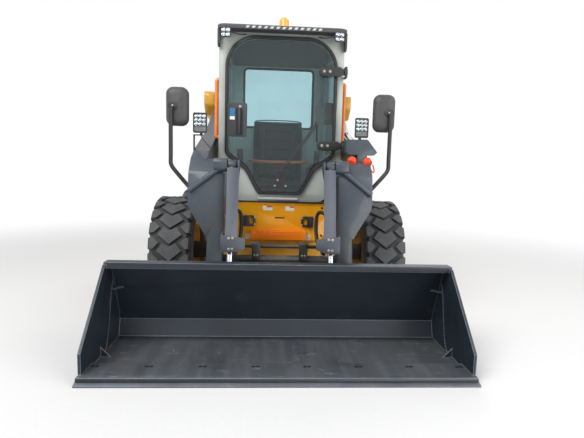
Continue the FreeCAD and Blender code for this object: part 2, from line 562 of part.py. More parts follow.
tower_parts = []
cheek_face = "hull_half + cheek_thick + fit_gap"
for hand, side in SIDES:
    post = slab(f"tower_post_{hand}", "YZ", (
        ("tower_front_y", "tower_low_z", "tower_round"), ("tower_rear_y", "tower_low_z", "tower_round"),
        ("tower_rear_y", "head_low_z + 1"), ("tower_front_y", "head_low_z + 1"),
    ), *span(side, "tower_in", "tower_out"))
    head = slab(f"tower_head_{hand}", "YZ", (
        ("tower_front_y", "head_low_z"), ("tower_rear_y", "head_low_z"),
        ("tower_rear_y", cheek_top, "head_round"),
        ("nose_y", cheek_top, "tower_round"), ("nose_y", "nose_low_z", "tower_round"),
    ), *span(side, "tower_in", "head_out"))
    between = span(side, cheek_face, "tower_in + 1")
    back = box(f"tower_back_{hand}", between, ("tower_rear_y - tower_plate", "tower_rear_y"),
               ("tower_low_z", "boom_pivot_z - head_radius / 2"))
    sill = box(f"tower_sill_{hand}", between, ("tower_rear_y - 2 * tower_plate", "tower_rear_y"),
               ("tower_low_z", "tower_low_z + tower_plate"))
    pivot = ("boom_pivot_y", "boom_pivot_z")
    pin = rod(f"boom_pin_{hand}", "x", span(side, "hull_half + 1", "head_out + 1"), pivot, "pivot_pin_radius")
    cap = rod(f"boom_pin_cap_{hand}", "x", span(side, "head_out - 1", "head_out + pin_cap_thick"), pivot,
              "pin_cap_radius")
    bracket_x = "lift_centre_x + lift_eye_width / 2 + side_play"
    shelf_z = "lift_base_z - lift_eye_radius - shelf_space"
    bracket = slab(f"lift_bracket_{hand}", "YZ", (
        ("lift_base_y - bracket_half", f"{shelf_z} - shelf_thick"),
        ("lift_base_y + bracket_half", f"{shelf_z} - shelf_thick"),
        ("lift_base_y + bracket_half", "lift_base_z + bracket_rise", "bracket_round"),
        ("lift_base_y - bracket_half", "lift_base_z + bracket_rise", "bracket_round"),
    ), *span(side, bracket_x, f"{bracket_x} + bracket_thick"))
    shelf = box(f"lift_shelf_{hand}", span(side, cheek_face, f"{bracket_x} + 1"),
                middle("lift_base_y", "bracket_half"),
                (f"{shelf_z} - shelf_thick", shelf_z))
    foot_pin = rod(f"lift_foot_pin_{hand}", "x", span(side, "hull_half + 1", f"{bracket_x} + bracket_thick"),
                   ("lift_base_y", "lift_base_z"), "lift_pin_radius")
    tower_parts += [post, head, back, sill, pin, cap, bracket, shelf, foot_pin]
sub_part("arm_towers", fuse("arm_towers", tower_parts))

# Front of the tub: panel with a rolled top, step and tie-down loops

panel_back = "-(hull_front_y - fit_gap)"
panel = slab("panel_plate", "XZ", mirrored((
    ("front_panel_half", "front_panel_top_z"), ("front_panel_half", "front_panel_low_z", "front_panel_round"),
)), panel_back, f"{panel_back} + front_panel_thick")
roll = rod("panel_roll", "x", middle("0", "front_panel_half"),
           ("hull_front_y - fit_gap - roll_radius", "front_panel_top_z"), "roll_radius")
grip = box("panel_grip", middle("grip_x", "grip_half"),
           ("hull_front_y - front_panel_thick - 1", "hull_front_y - front_panel_thick + grip_depth"),
           middle("grip_z", "grip_height / 2"))
sub_part("front_panel", cut("front_panel", fuse("rolled_panel", [panel, roll]), [grip]))

step_back = "hull_front_y - 2 * fit_gap - front_panel_thick"
step_channel = slab("step_channel", "YZ", (
    (step_back, "step_top_z"), ("step_y", "step_top_z"), ("step_y", "step_low_z"),
    ("step_y + step_flange", "step_low_z"),
    ("step_y + step_flange", "step_low_z + step_plate"), ("step_y + step_plate", "step_low_z + step_plate"),
    ("step_y + step_plate", "step_top_z - step_plate"), (step_back, "step_top_z - step_plate"),
), "-step_half", "step_half")
teeth = [box(f"step_notch_{number}", middle(f"{number} * step_tooth_pitch", "step_tooth / 2"),
             ("step_y - 1", "step_y + step_tooth"), ("step_top_z - step_plate - 1", "step_top_z + 1"))
         for number in range(-4, 5)]
sub_part("front_step", cut("front_step", step_channel, teeth))

loops = []
loop_z = "(loop_low_z + loop_top_z) / 2"
for hand, side in SIDES:
    ring = slab(f"loop_ring_{hand}", "XZ", handed(side, (
        ("loop_near", "loop_top_z", "loop_round"), ("loop_block + 1", "loop_top_z"),
        ("loop_block + 1", "loop_low_z"),
        ("loop_near", "loop_low_z", "loop_round"),
    )), f"-({step_back})", f"-({step_back}) + loop_bar")
    hole = slab(f"loop_hole_{hand}", "XZ", handed(side, (
        ("loop_near + loop_bar", "loop_top_z - loop_bar"), ("loop_block", "loop_top_z - loop_bar"),
        ("loop_block", "loop_low_z + loop_bar"), ("loop_near + loop_bar", "loop_low_z + loop_bar"),
    )), f"-({step_back}) - 1", f"-({step_back}) + loop_bar + 1")
    block = box(f"loop_block_{hand}", span(side, "loop_block", "loop_far"),
                (f"{step_back} - loop_block_depth", step_back),
                ("loop_low_z", "loop_top_z"))
    loops += [cut(f"open_ring_{hand}", ring, [hole]), block]
sub_part("tie_down_loops", fuse("tie_down_loops", loops))

# Rear body: engine, louvred side panels and hood, bumper, lamps and the hinged rear door

sub_part("engine_block", fuse("engine_block", [
    box("engine_sump", middle("0", "engine_half"), ("engine_front_y", "engine_rear_y"),
        ("bay_floor_z + fit_gap", "(bay_floor_z + engine_top_z) / 2")),
    box("head_cover", middle("0", "head_cover_half"),
        ("engine_front_y + head_cover_inset", "engine_rear_y - head_cover_inset"),
        ("(bay_floor_z + engine_top_z) / 2 - 1", "engine_top_z")),
]))

side_panels = []
for hand, side in SIDES:
    plate = box(f"side_panel_{hand}", span(side, "hull_half - panel_thick", "hull_half"),
                ("bulkhead_y + panel_thick", "hull_rear_y"), ("bay_z + fit_gap", "hood_low_z"))
    slots = [box(f"side_slot_{hand}_{number}", span(side, "hull_half - panel_thick - 1", "hull_half + 1"),
                 ("tower_rear_y + slot_margin", "hull_rear_y - slot_margin"),
                 (f"bay_z + slot_start + {number} * slot_pitch",
                  f"bay_z + slot_start + {number} * slot_pitch + slot_height"))
             for number in range(8)]
    side_panels.append(cut(f"side_cover_{hand}", plate, slots))
sub_part("side_panels", fuse("side_panels", side_panels))

hood_plate = slab("hood_plate", "YZ", (
    ("bulkhead_y + panel_thick", "hood_low_z + fit_gap"), ("hull_rear_y", "hood_low_z + fit_gap"),
    ("hull_rear_y", "hood_rear_z - hood_lip", "hood_edge_round"),
    ("hull_rear_y - hood_tail_run", "hood_rear_z", "hood_tail_round"),
    ("hull_rear_y - hood_slope_run", "hood_front_z", "hood_sweep_round"),
    ("bulkhead_y + panel_thick", "hood_front_z", "hood_edge_round"),
), "-hull_half", "hull_half")
vents = [box(f"hood_vent_{number}", middle("0", "vent_half"),
             (f"hull_rear_y - vent_start - {number} * vent_pitch",
              f"hull_rear_y - vent_start - {number} * vent_pitch + vent_width"),
             ("hood_low_z - 1", "hood_front_z + 1")) for number in range(10)]
sub_part("engine_hood", cut("engine_hood", hood_plate, vents))

sub_part("exhaust_pipe", cut("exhaust_pipe", rod(
    "exhaust_tube", "z", ("hood_front_z + fit_gap", "exhaust_top_z"), ("exhaust_x", "exhaust_y"),
    "exhaust_radius",
), [rod("exhaust_bore", "z", ("hood_front_z + exhaust_radius", "exhaust_top_z + 1"),
        ("exhaust_x", "exhaust_y"),
        "exhaust_radius - exhaust_wall")]))

bumper = slab("bumper_bar", "XY", mirrored((
    ("bumper_half - bumper_chamfer", "hull_rear_y + bumper_depth"),
    ("bumper_half", "hull_rear_y + bumper_depth - bumper_chamfer / 2"),
    ("bumper_half", "hull_rear_y + fit_gap"),
)), "bumper_low_z", "bumper_top_z")
bumper_rear = "hull_rear_y + bumper_depth"
hitch = rod("hitch_bore", "z", ("bumper_low_z - 1", "bumper_top_z + 1"),
            ("0", f"{bumper_rear} - hitch_offset"), "hitch_radius")
slot = box("hitch_slot", middle("0", "hitch_half"), (f"{bumper_rear} - hitch_half", f"{bumper_rear} + 1"),
           ("bumper_low_z + hitch_floor", "bumper_top_z - hitch_roof"))
sub_part("rear_bumper", cut("rear_bumper", bumper, [hitch, slot]))

sub_part("tail_lamps", fuse("tail_lamps", [
    box(f"tail_lamp_{hand}", span(side, "hull_half + fit_gap", "hull_half + tail_lamp_out"),
        ("hull_rear_y - tail_lamp_front", "hull_rear_y - tail_lamp_rear"),
        ("bay_z + tail_lamp_low", "bay_z + tail_lamp_high"))
    for hand, side in SIDES]))

gate_front, gate_hinge_y = "hull_rear_y + gate_gap", "hull_rear_y + gate_hinge_offset"
gate_parts = [slab("gate_plate", "XZ", mirrored((
    ("gate_half", "gate_top_z", "gate_round"), ("gate_half", "gate_low_z", "gate_round"),
)), f"-({gate_front} + gate_thick)", f"-({gate_front})")]
gate_cuts = [box(f"gate_slot_{number}", middle("0", "grille_half"),
                 (f"{gate_front} - 1", f"{gate_front} + gate_thick + 1"),
                 (f"gate_low_z + grille_start + {number} * vent_pitch",
                  f"gate_low_z + grille_start + {number} * vent_pitch + slot_height"))
             for number in range(7)]
gate_fixed = []
for place, height in (("low", "gate_low_z + knuckle_low_rise"), ("high", "gate_top_z - knuckle_high_drop")):
    spot = ("gate_hinge_x", gate_hinge_y)
    tread_top = f"{height} + knuckle_height"
    gate_parts.append(rod(f"gate_knuckle_{place}", "z", (height, tread_top), spot, "hinge_radius"))
    gate_parts.append(box(f"gate_leaf_{place}", ("gate_hinge_x", "-(gate_half - hinge_leaf)"),
                          middle(gate_hinge_y, "hinge_leaf / 2"), (height, tread_top)))
    gate_cuts.append(rod(f"gate_bore_{place}", "z", (f"{height} - 1", f"{tread_top} + 1"), spot,
                         "hinge_pin_radius + pin_play"))
    gate_fixed.append(rod(f"gate_pin_{place}", "z", (f"{height} - hinge_reach", f"{tread_top} + hinge_reach"),
                          spot,
                          "hinge_pin_radius"))
    for where, low in (("under", f"{height} - hinge_reach"), ("over", f"{tread_top} + side_play")):
        gate_fixed.append(box(f"gate_arm_{place}_{where}", ("-(hull_half + side_play)",
                                                            "gate_hinge_x + side_play"),
                              middle(gate_hinge_y, "hinge_leaf"), (low, f"{low} + hinge_leaf")))
        gate_fixed.append(box(f"gate_reach_{place}_{where}", ("-(hull_half + side_play)",
                "-(hull_half + fit_gap)"),
                              ("hull_rear_y - 5 * hinge_leaf", f"{gate_hinge_y} + hinge_leaf"),
                              (low, f"{low} + hinge_leaf")))
sub_part("gate_hinges", fuse("gate_hinges", gate_fixed))
sub_part("tailgate", cut("tailgate", fuse("gate_joined", gate_parts), gate_cuts))

# Cab: front frame with the door opening, hollow shell, roof with visor and panes

DOOR_OUTLINE = (
    # across, up, radius
    ("door_half", "door_top_z", "door_arch_radius"), ("door_half", "door_side_low_z", "door_side_round"),
    ("door_waist_half", "door_waist_z", "door_waist_round"), ("door_foot_half", "door_foot_z",
            "door_foot_round"),
    ("door_low_half", "door_low_z"),
)


def door_inset(margin):
    """The door's outline drawn in by a margin on every side."""
    top, *rest = DOOR_OUTLINE
    corners = [(f"{top[0]} - ({margin})", f"{top[1]} - ({margin})", f"{top[2]} - ({margin})")]
    for across, up, *radius in rest:
        corners.append((f"{across} - ({margin})", f"{up} + ({margin})") + tuple(radius))
    return mirrored(corners)


frame_back, frame_face = "-(cab_front_y + cab_frame_depth)", "-cab_front_y"
front_frame = slab("cab_front_plate", "XZ", mirrored((
    ("cab_frame_half", "cab_top_z", "strap_half"), ("cab_frame_half", "frame_side_low_z", "frame_round"),
    ("frame_low_half + frame_flare", "frame_flare_z", "roof_round"),
    ("frame_low_half", "frame_low_z", "door_overlap"),
)), frame_back, frame_face)
doorway = slab("doorway", "XZ", door_inset("door_overlap"), f"{frame_back} - 1", f"{frame_face} + 1")
sub_part("cab_front_frame", cut("cab_front_frame", front_frame, [doorway]))

shell_front = "cab_front_y + cab_frame_depth + fit_gap"
shell_block = slab("cab_block", "YZ", (
    (shell_front, "deck_z + fit_gap"), (shell_front, "cab_top_z"),
    ("cab_rear_y - cab_lean", "cab_top_z", "roof_round"),
    ("cab_rear_y", "rear_window_low_z - 2 * roof_round"), ("cab_rear_y", "deck_z + fit_gap"),
), "-cab_half", "cab_half")
shell_room = box("cab_room", middle("0", "cab_half - cab_wall"),
                 (f"{shell_front} - 1", "cab_rear_y - cab_lean - cab_wall"),
                 ("deck_z - 1", "cab_top_z - cab_wall"))


def window(name, plane, low, high, shrink, corners, depth):
    """A rounded slab for a window's opening, or for its pane when drawn in by a gap."""
    (left, right), (bottom, top) = low, high
    return slab(name, plane, [(f"{a} {s} {shrink}", f"{b} {t} {shrink}", corners) for a, s, b, t in (
        (left, "+", bottom, "+"), (right, "-", bottom, "+"), (right, "-", top, "-"), (left, "+", top, "-"),
    )], *depth)


side_limits = ("side_window_front_y", "side_window_rear_y"), ("side_window_low_z", "side_window_top_z")
rear_limits = ("-rear_window_half", "rear_window_half"), ("rear_window_low_z", "rear_window_top_z")
openings = [
    window("side_opening", "YZ", *side_limits, "0", "window_corner", middle("0", "cab_half + 1")),
    window("rear_opening", "XZ", *rear_limits, "0", "window_corner",
           ("-(cab_rear_y + 1)", "-(cab_rear_y - 3 * cab_wall)")),
]
sub_part("cab_shell", cut("cab_shell", shell_block, [shell_room] + openings))
panes = [window(f"side_pane_{hand}", "YZ", *side_limits, "fit_gap", "window_corner",
                span(side, "cab_half - pane_setback", "cab_half - pane_setback + glass_thick")) for hand,
         side in SIDES]
panes.append(window("rear_pane", "XZ", *rear_limits, "fit_gap", "window_corner",
                    ("-(cab_rear_y - cab_wall)", "-(cab_rear_y - cab_wall - glass_thick)")))
sub_part("cab_windows", fuse("cab_windows", panes))

roof_plate = slab("roof_plate", "XY", mirrored((
    ("roof_half", "cab_rear_y", "roof_round"), ("roof_half", "visor_y", "roof_round"),
)), "cab_top_z + fit_gap", "roof_z")
visor_back = "cab_front_y - side_play"
visor_parts = [slab(f"visor_{hand}", "YZ", (
    ("visor_y + visor_round", "visor_low_z", "visor_round"), (visor_back, "visor_low_z"),
    (visor_back, "cab_top_z + 1"), ("visor_y + visor_round", "cab_top_z + 1"),
), *span(side, "roof_half - visor_plate", "roof_half")) for hand, side in SIDES]
visor_parts.append(box("visor_lip", middle("0", "roof_half - roof_round"),
                       ("visor_y", "visor_y + visor_plate"),
                       ("cab_top_z - 3", "roof_z - 6")))
sub_part("cab_roof", fuse("cab_roof", [roof_plate] + visor_parts))


def work_lamp(name, centre, half_width, half_height, foot):
    """A lamp body that narrows towards its back, with a recess for the lens in its front."""
    across, front, up = centre
    back = f"{front} + lamp_depth"
    shell = taper(name + "_shell", "XZ", cut_rectangle(across, up, f"{half_width} - lamp_taper",
                                                       f"{half_height} - lamp_taper", "lamp_corner"),
                  cut_rectangle(across, up, half_width, half_height, "lamp_corner"), f"-({back})",
                  f"-({front})")
    recess = box(name + "_recess", middle(across, f"{half_width} - lamp_bezel"),
                 (f"{front} - 1", f"{front} + lamp_recess"),
                 middle(up, f"{half_height} - lamp_bezel"))
    return fuse(name, [cut(name + "_body", shell, [recess])] + foot)


lamps = []
for hand, side in SIDES:
    neck = box(f"cab_lamp_neck_{hand}", middle(f"{side} * cab_lamp_x", "lamp_taper"),
               ("cab_lamp_y + lamp_depth / 2", "cab_lamp_y + lamp_depth"),
               ("cab_lamp_z", "cab_top_z - 3 - fit_gap"))
    lamps.append(work_lamp(f"cab_lamp_{hand}", (f"{side} * cab_lamp_x", "cab_lamp_y", "cab_lamp_z"),
                           "cab_lamp_half",
                           "cab_lamp_half", [neck]))
sub_part("cab_lamps", fuse("cab_lamps", lamps))

beacon = new_body("beacon")
revolve(beacon, "Revolution", "XZ", [(
    ("0", "roof_z + fit_gap"), ("beacon_radius", "roof_z + fit_gap"),
    ("beacon_radius", "roof_z + beacon_foot"),
    ("beacon_radius - beacon_taper", "roof_z + beacon_foot"),
    ("beacon_radius - 2 * beacon_taper", "overall_height - beacon_round"),
    ("beacon_radius - beacon_taper - beacon_round", "overall_height - 3"), ("0", "overall_height"),
)], "V_Axis")
bind(beacon, "Placement.Base.x", "beacon_x")
bind(beacon, "Placement.Base.y", "beacon_y")
sub_part("beacon", beacon)

rails = []
for hand, side in SIDES:
    rail_x = f"{side} * rail_x"
    rails.append(rod(f"rail_{hand}", "z", ("rail_low_z", "rail_top_z"), (rail_x, "rail_y"), "rail_radius"))
    for level in ("rail_low_z", "rail_top_z"):
        rails.append(rod(f"{level}_foot_{hand}", "x", span(side, "cab_half + fit_gap", "rail_x"),
                         ("rail_y", level), "rail_radius"))
        rails.append(ball(f"{level}_bend_{hand}", (rail_x, "rail_y", level), "rail_radius"))
sub_part("grab_rails", fuse("grab_rails", rails))

# Door: framed glass, two straps to hinge pins on the pillar, a latch with its handle and the wiper

door_back = "-(cab_front_y - door_gap)"
door_front_y = "(cab_front_y - door_gap - door_frame_thick)"
ring = slab("door_plate", "XZ", door_inset("0"), door_back, f"{door_back} + door_frame_thick")
hole = slab("door_hole", "XZ", door_inset("door_frame_width"), f"{door_back} - 1",
            f"{door_back} + door_frame_thick + 1")
door_parts = [cut("door_ring", ring, [hole])]
pin_holes = []
hinge_fixed = []
for level in ("high", "low"):
    hinge = ("hinge_x", "hinge_y")
    low, high = middle(f"hinge_{level}_z", "strap_half")
    door_parts.append(box(f"strap_{level}", ("strap_in_x", "hinge_x"), middle("hinge_y", "strap_thick / 2"),
                          (low, high)))
    door_parts.append(box(f"strap_foot_{level}", ("door_half - door_frame_width + 2", "door_half - 2"),
                          ("hinge_y", "cab_front_y - door_gap - 2"), (low, high)))
    door_parts.append(box(f"strap_pad_{level}", ("strap_in_x", "strap_in_x + 2 * strap_half"),
                          ("hinge_y", f"{door_front_y} - fit_gap"), (low, high)))
    door_parts.append(rod(f"knuckle_{level}", "z", (low, high), hinge, "hinge_radius"))
    pin_holes.append(rod(f"knuckle_bore_{level}", "z", (f"{low} - 1", f"{high} + 1"), hinge,
                         "hinge_pin_radius + pin_play"))
    hinge_fixed.append(rod(f"hinge_pin_{level}", "z", (f"{low} - side_play - hinge_ear",
                                                       f"{high} + side_play + hinge_ear"),
                           hinge, "hinge_pin_radius"))
    for place, start in (("under", f"{low} - side_play - hinge_ear"), ("over", f"{high} + side_play")):
        hinge_fixed.append(box(f"hinge_arm_{level}_{place}", ("cab_frame_half + fit_gap",
                "hinge_x + hinge_ear"),
                               ("hinge_y - hinge_ear", "cab_front_y + 2 * hinge_ear"),
                               (start, f"{start} + hinge_ear")))
sub_part("door_frame", cut("door_frame", fuse("door_joined", door_parts), pin_holes))
sub_part("door_hinges", fuse("door_hinges", hinge_fixed))
sub_part("door_glass", slab("door_pane", "XZ", door_inset("door_frame_width + fit_gap"),
                            f"{door_back} + pane_inset",
                            f"{door_back} + door_frame_thick"))

fitting_back = f"-({door_front_y} - fit_gap)"
latch = slab("latch_box", "XZ", [(across, up, "latch_round") for across, up in (
    ("latch_near_x", "latch_low_z"), ("latch_near_x", "latch_top_z"), ("latch_far_x", "latch_top_z"),
    ("latch_far_x", "latch_low_z"),
)], fitting_back, f"{fitting_back} + latch_depth")
handle_y = f"{door_front_y} - handle_reach"
handle = [rod("handle_bar", "z", ("handle_low_z", "handle_top_z"), ("handle_x", handle_y), "handle_radius")]
for end, level in (("low", "handle_low_z + 2 * handle_radius"), ("high", "handle_top_z - 2 * handle_radius")):
    handle.append(rod(f"handle_foot_{end}", "y", (handle_y, f"{door_front_y} - latch_depth / 2"),
                      ("handle_x", level), "handle_radius - 2"))
wiper_y = f"{door_front_y} - 2 * wiper_plate"
wiper = [slab("wiper_motor", "XZ", (
    ("wiper_x", "wiper_top_z", "wiper_round"), ("wiper_x + wiper_half", "wiper_low_z", "wiper_round"),
    ("wiper_x - wiper_half", "wiper_low_z", "wiper_round"),
), fitting_back, f"{fitting_back} + wiper_plate")]
for name, shift in (("near", "-wiper_spread / 2"), ("far", "wiper_spread / 2")):
    foot = (f"wiper_x + ({shift})", wiper_y, "wiper_top_z - 3 * wiper_round")
    tip = (f"wiper_end_x + ({shift})", wiper_y, "wiper_end_z")
    wiper.append(slant_rod(f"wiper_arm_{name}", foot, tip, "wiper_arm_radius"))
wiper.append(rod("wiper_spindle", "y", (f"{wiper_y} - wiper_plate", f"{door_front_y} - wiper_plate / 2"),
                 ("wiper_x", "wiper_top_z - 3 * wiper_round"), "wiper_round"))
wiper.append(rod("wiper_clip", "y", (f"{wiper_y} - wiper_plate", f"{door_front_y} - blade_radius"),
                 ("wiper_end_x", "wiper_end_z"), "wiper_spread"))
wiper.append(rod("wiper_blade", "z", middle("wiper_end_z", "blade_half"),
                 ("wiper_end_x", f"{door_front_y} - blade_radius - 1"),
                 "blade_radius"))
sub_part("door_fittings", fuse("door_fittings", [latch] + handle + wiper))

# Seat, its plinth and the two control consoles

sub_part("seat_base", box("seat_base", middle("0", "seat_base_half"),
                          ("seat_front_y + seat_round", "seat_rear_y - seat_round"),
                          ("foot_floor_z + fit_gap", "seat_base_top_z")))
sub_part("seat", slab("seat", "YZ", (
    ("seat_front_y", "seat_base_top_z + fit_gap", "seat_round"), ("seat_front_y", "cushion_z", "seat_round"),
    ("seat_back_y - seat_round", "cushion_z - seat_round / 2", "seat_round"),
    ("seat_back_y + seat_round", "seat_top_z", "seat_round"),
    ("seat_rear_y", "seat_top_z", "seat_round"), ("seat_rear_y", "seat_base_top_z + fit_gap", "seat_round"),
), "-seat_half", "seat_half"))
consoles = []
levers = []
for hand, side in SIDES:
    front, rear, foot = "seat_front_y - console_drop", "seat_rear_y - seat_round", "deck_z + console_drop"
    consoles.append(slab(f"console_{hand}", "YZ", (
        (front, "console_z - console_drop", "seat_round"), (front, foot), (rear, foot),
        (rear, "console_z", "seat_round"),
        ("seat_front_y", "console_z", "seat_round"),
    ), *span(side, "console_in", "console_out")))
    consoles.append(box(f"console_mount_{hand}", span(side, "console_out - 1",
                                                      "cab_half - cab_wall - fit_gap"),
                        ("seat_front_y + console_drop", f"{rear} - console_drop"),
                        (f"{foot} + seat_round", "console_z - console_drop")))
    spot = (f"{side} * (console_in + console_out) / 2", "seat_front_y + lever_setback")
    levers.append(rod(f"lever_{hand}", "z", ("console_z + fit_gap", "lever_top_z"), spot, "lever_radius"))
    levers.append(rod(f"lever_grip_{hand}", "z", ("lever_top_z - grip_length", "lever_top_z"), spot,
                      "grip_radius"))
sub_part("control_consoles", fuse("control_consoles", consoles))
sub_part("control_levers", fuse("control_levers", levers))

# Boom arms: a deep beam from the tower, a wide knee in front of the wheel and a narrow leg to the bucket


def along_beam(distance, offset):
    """The (y, z) rules of a spot ahead of the boom pivot, offset square to the beam."""
    across = f"boom_pivot_y - ({distance}) * cos(beam_slope * 1deg) - ({offset}) * sin(beam_slope * 1deg)"
    up = f"boom_pivot_z - ({distance}) * sin(beam_slope * 1deg) + ({offset}) * cos(beam_slope * 1deg)"
    return across, up


BROW = (
    ("crest_y", "crest_z", "brow_round"), ("brow_y", "brow_z", "brow_round"), ("face_y", "face_z"),
    ("chin_y", "chin_z"),
)
lift_in = "lift_centre_x - lift_eye_width / 2 - side_play"
lift_out = "lift_centre_x + lift_eye_width / 2 + side_play"
tilt_out = "tilt_centre_x + tilt_eye_width / 2 + side_play"
for hand, side in SIDES:
    beam = slab(f"beam_{hand}", "YZ", (
        along_beam("0", "beam_half"), along_beam("beam_run", "beam_half") + ("beam_round",),
        ("shoulder_y", "shoulder_z", "shoulder_round"),
    ) + BROW + (
        ("knee_low_y", "knee_low_z"), ("knee_back_y", "knee_back_z", "brow_round"),
        ("throat_y", "throat_z", "throat_round"),
        along_beam("beam_run - lug_bury", "-beam_half"), along_beam("0", "-beam_half"),
    ), *span(side, "beam_in", "arm_out"))
    knee = slab(f"knee_{hand}", "YZ", (
        ("knee_back_y", "knee_top_z", "brow_round"),) + BROW + (
        ("leg_top_front_y", "leg_top_z"), ("leg_top_rear_y", "leg_top_z"),
            ("knee_low_y", "knee_low_z", "brow_round"),
        ("knee_back_y", "knee_back_z", "brow_round"),
    ), *span(side, "leg_in", "arm_out"))
    through = "-(knee_back_y + shoulder_round)", "-(chin_y - shoulder_round)"
    arch = slab(f"arch_{hand}", "XZ", handed(side, (
        ("leg_out", "leg_top_z - arch_round"), ("leg_out", "arch_low_z", "arch_round"),
        ("arm_out + 1", "arch_top_z"),
        ("arm_out + 1", "leg_top_z - arch_round"),
    )), *through)
    corner = slab(f"corner_{hand}", "XZ", handed(side, (
        ("leg_in - 1", "knee_top_z - corner_drop"), ("leg_in + corner_width", "knee_top_z + 1"),
        ("leg_in + corner_width", "knee_top_z + corner_drop"), ("leg_in - 1", "knee_top_z + corner_drop"),
    )), *through)
    pocket_floor, mouth = "-(beam_half - pocket_depth)", "-(beam_half + 5)"
    pocket = slab(f"pocket_{hand}", "YZ", (
        along_beam("lift_eye_run + pocket_half", mouth), along_beam("lift_eye_run + pocket_half",
                pocket_floor),
        along_beam("lift_eye_run - pocket_half", pocket_floor),
        along_beam("lift_eye_run - pocket_half", mouth),
    ), *span(side, lift_in, lift_out))
    leg = slab(f"leg_{hand}", "YZ", (
        ("chin_y", "chin_z"), ("leg_top_front_y", "leg_top_z"),
        ("bucket_pin_y - leg_end_radius", "bucket_pin_z + 20"),
        ("bucket_pin_y", "bucket_pin_z - leg_end_radius + 12"),
        ("bucket_pin_y + leg_end_radius", "bucket_pin_z - 20"),
        ("leg_top_rear_y", "leg_top_z"), ("knee_low_y", "knee_low_z"),
    ), *span(side, "leg_in", "leg_out"))
    tail = rod(f"beam_tail_{hand}", "x", span(side, "beam_in", "arm_out"), ("boom_pivot_y", "boom_pivot_z"),
               "beam_half")
    foot = rod(f"leg_foot_{hand}", "x", span(side, "leg_in", "leg_out"), ("bucket_pin_y", "bucket_pin_z"),
               "leg_end_radius")
    lugs = [slab(f"lift_lug_{where}_{hand}", "YZ", (
        along_beam("lift_eye_run + lug_foot", "lug_bury - lift_eye_drop"),
        along_beam("lift_eye_run + lug_top", "-(lift_eye_drop + lug_over)") + ("bracket_round",),
        along_beam("lift_eye_run - lug_top", "-(lift_eye_drop + lug_over)") + ("bracket_round",),
        along_beam("lift_eye_run - lug_foot", "lug_bury - lift_eye_drop"),
    ), *span(side, near, far)) for where, near, far in (("in", f"{lift_in} - lug_plate", lift_in),
                                                        ("out", lift_out, "arm_out"))]
    boss = slab(f"tilt_boss_{hand}", "YZ", [(across, up, "boss_round") for across, up in (
        ("tilt_base_y - boss_half", "tilt_base_z - boss_half"),
        ("tilt_base_y + boss_half", "tilt_base_z - boss_half"),
        ("tilt_base_y + boss_half", "tilt_base_z + boss_half"),
        ("tilt_base_y - boss_half", "tilt_base_z + boss_half"),
    )], *span(side, tilt_out, "leg_in + corner_width + side_play"))
    tilt_pin = rod(f"tilt_pin_{hand}", "x", span(side, "guard_in - 2", "leg_in + boss_half"),
                   ("tilt_base_y", "tilt_base_z"),
                   "tilt_pin_radius")
    face_bar = slant_rod(f"face_bar_{hand}", (f"{side} * arm_bar_top_x", "brow_y", "arm_bar_top_z"),
                         (f"{side} * arm_bar_low_x", "chin_y - side_play", "arm_bar_low_z"), "arm_bar_radius")
    bores = [
        rod(f"tail_bore_{hand}", "x", span(side, "beam_in - 1", "arm_out + 1"),
            ("boom_pivot_y", "boom_pivot_z"),
            "pivot_pin_radius + pin_play"),
        rod(f"foot_bore_{hand}", "x", span(side, "leg_in - 1", "leg_out + 1"),
            ("bucket_pin_y", "bucket_pin_z"),
            "bucket_pin_radius + pin_play"),
    ]
    upper = cut(f"upper_arm_{hand}", fuse(f"beam_and_knee_{hand}", [beam, knee]), [arch, corner, pocket])
    arm = fuse(f"arm_joined_{hand}", [upper, leg, tail, foot, boss, tilt_pin, face_bar] + lugs)
    sub_part(f"arm_{hand}", cut(f"arm_{hand}", arm, bores))

reach = middle("0", "leg_in - fit_gap")
cross_parts = [
    rod("cross_bar", "x", reach, ("cross_tube_y", "cross_tube_z"), "cross_tube_radius"),
    rod("tie_bar", "x", reach, ("cross_tube_y", "tie_bar_z"), "tie_bar_radius"),
]
for hand, side in SIDES:
    cross_parts.append(slab(f"cross_clamp_{hand}", "YZ", [(across, up, "tie_bar_radius") for across, up in (
        ("cross_tube_y - cross_tube_radius - tie_bar_radius", "cross_tube_z"),
        ("cross_tube_y", "cross_tube_z"),
        ("cross_tube_y + 2 * tie_bar_radius", "tie_bar_z + clamp_half"),
        ("cross_tube_y - cross_tube_radius - tie_bar_radius", "tie_bar_z + clamp_half"),
    )], *span(side, "clamp_in", "clamp_out")))
sub_part("cross_tube", fuse("cross_tube", cross_parts))

# Guards over the tilt cylinders: a sloping plate from the cylinder's pin to a pad on the leg

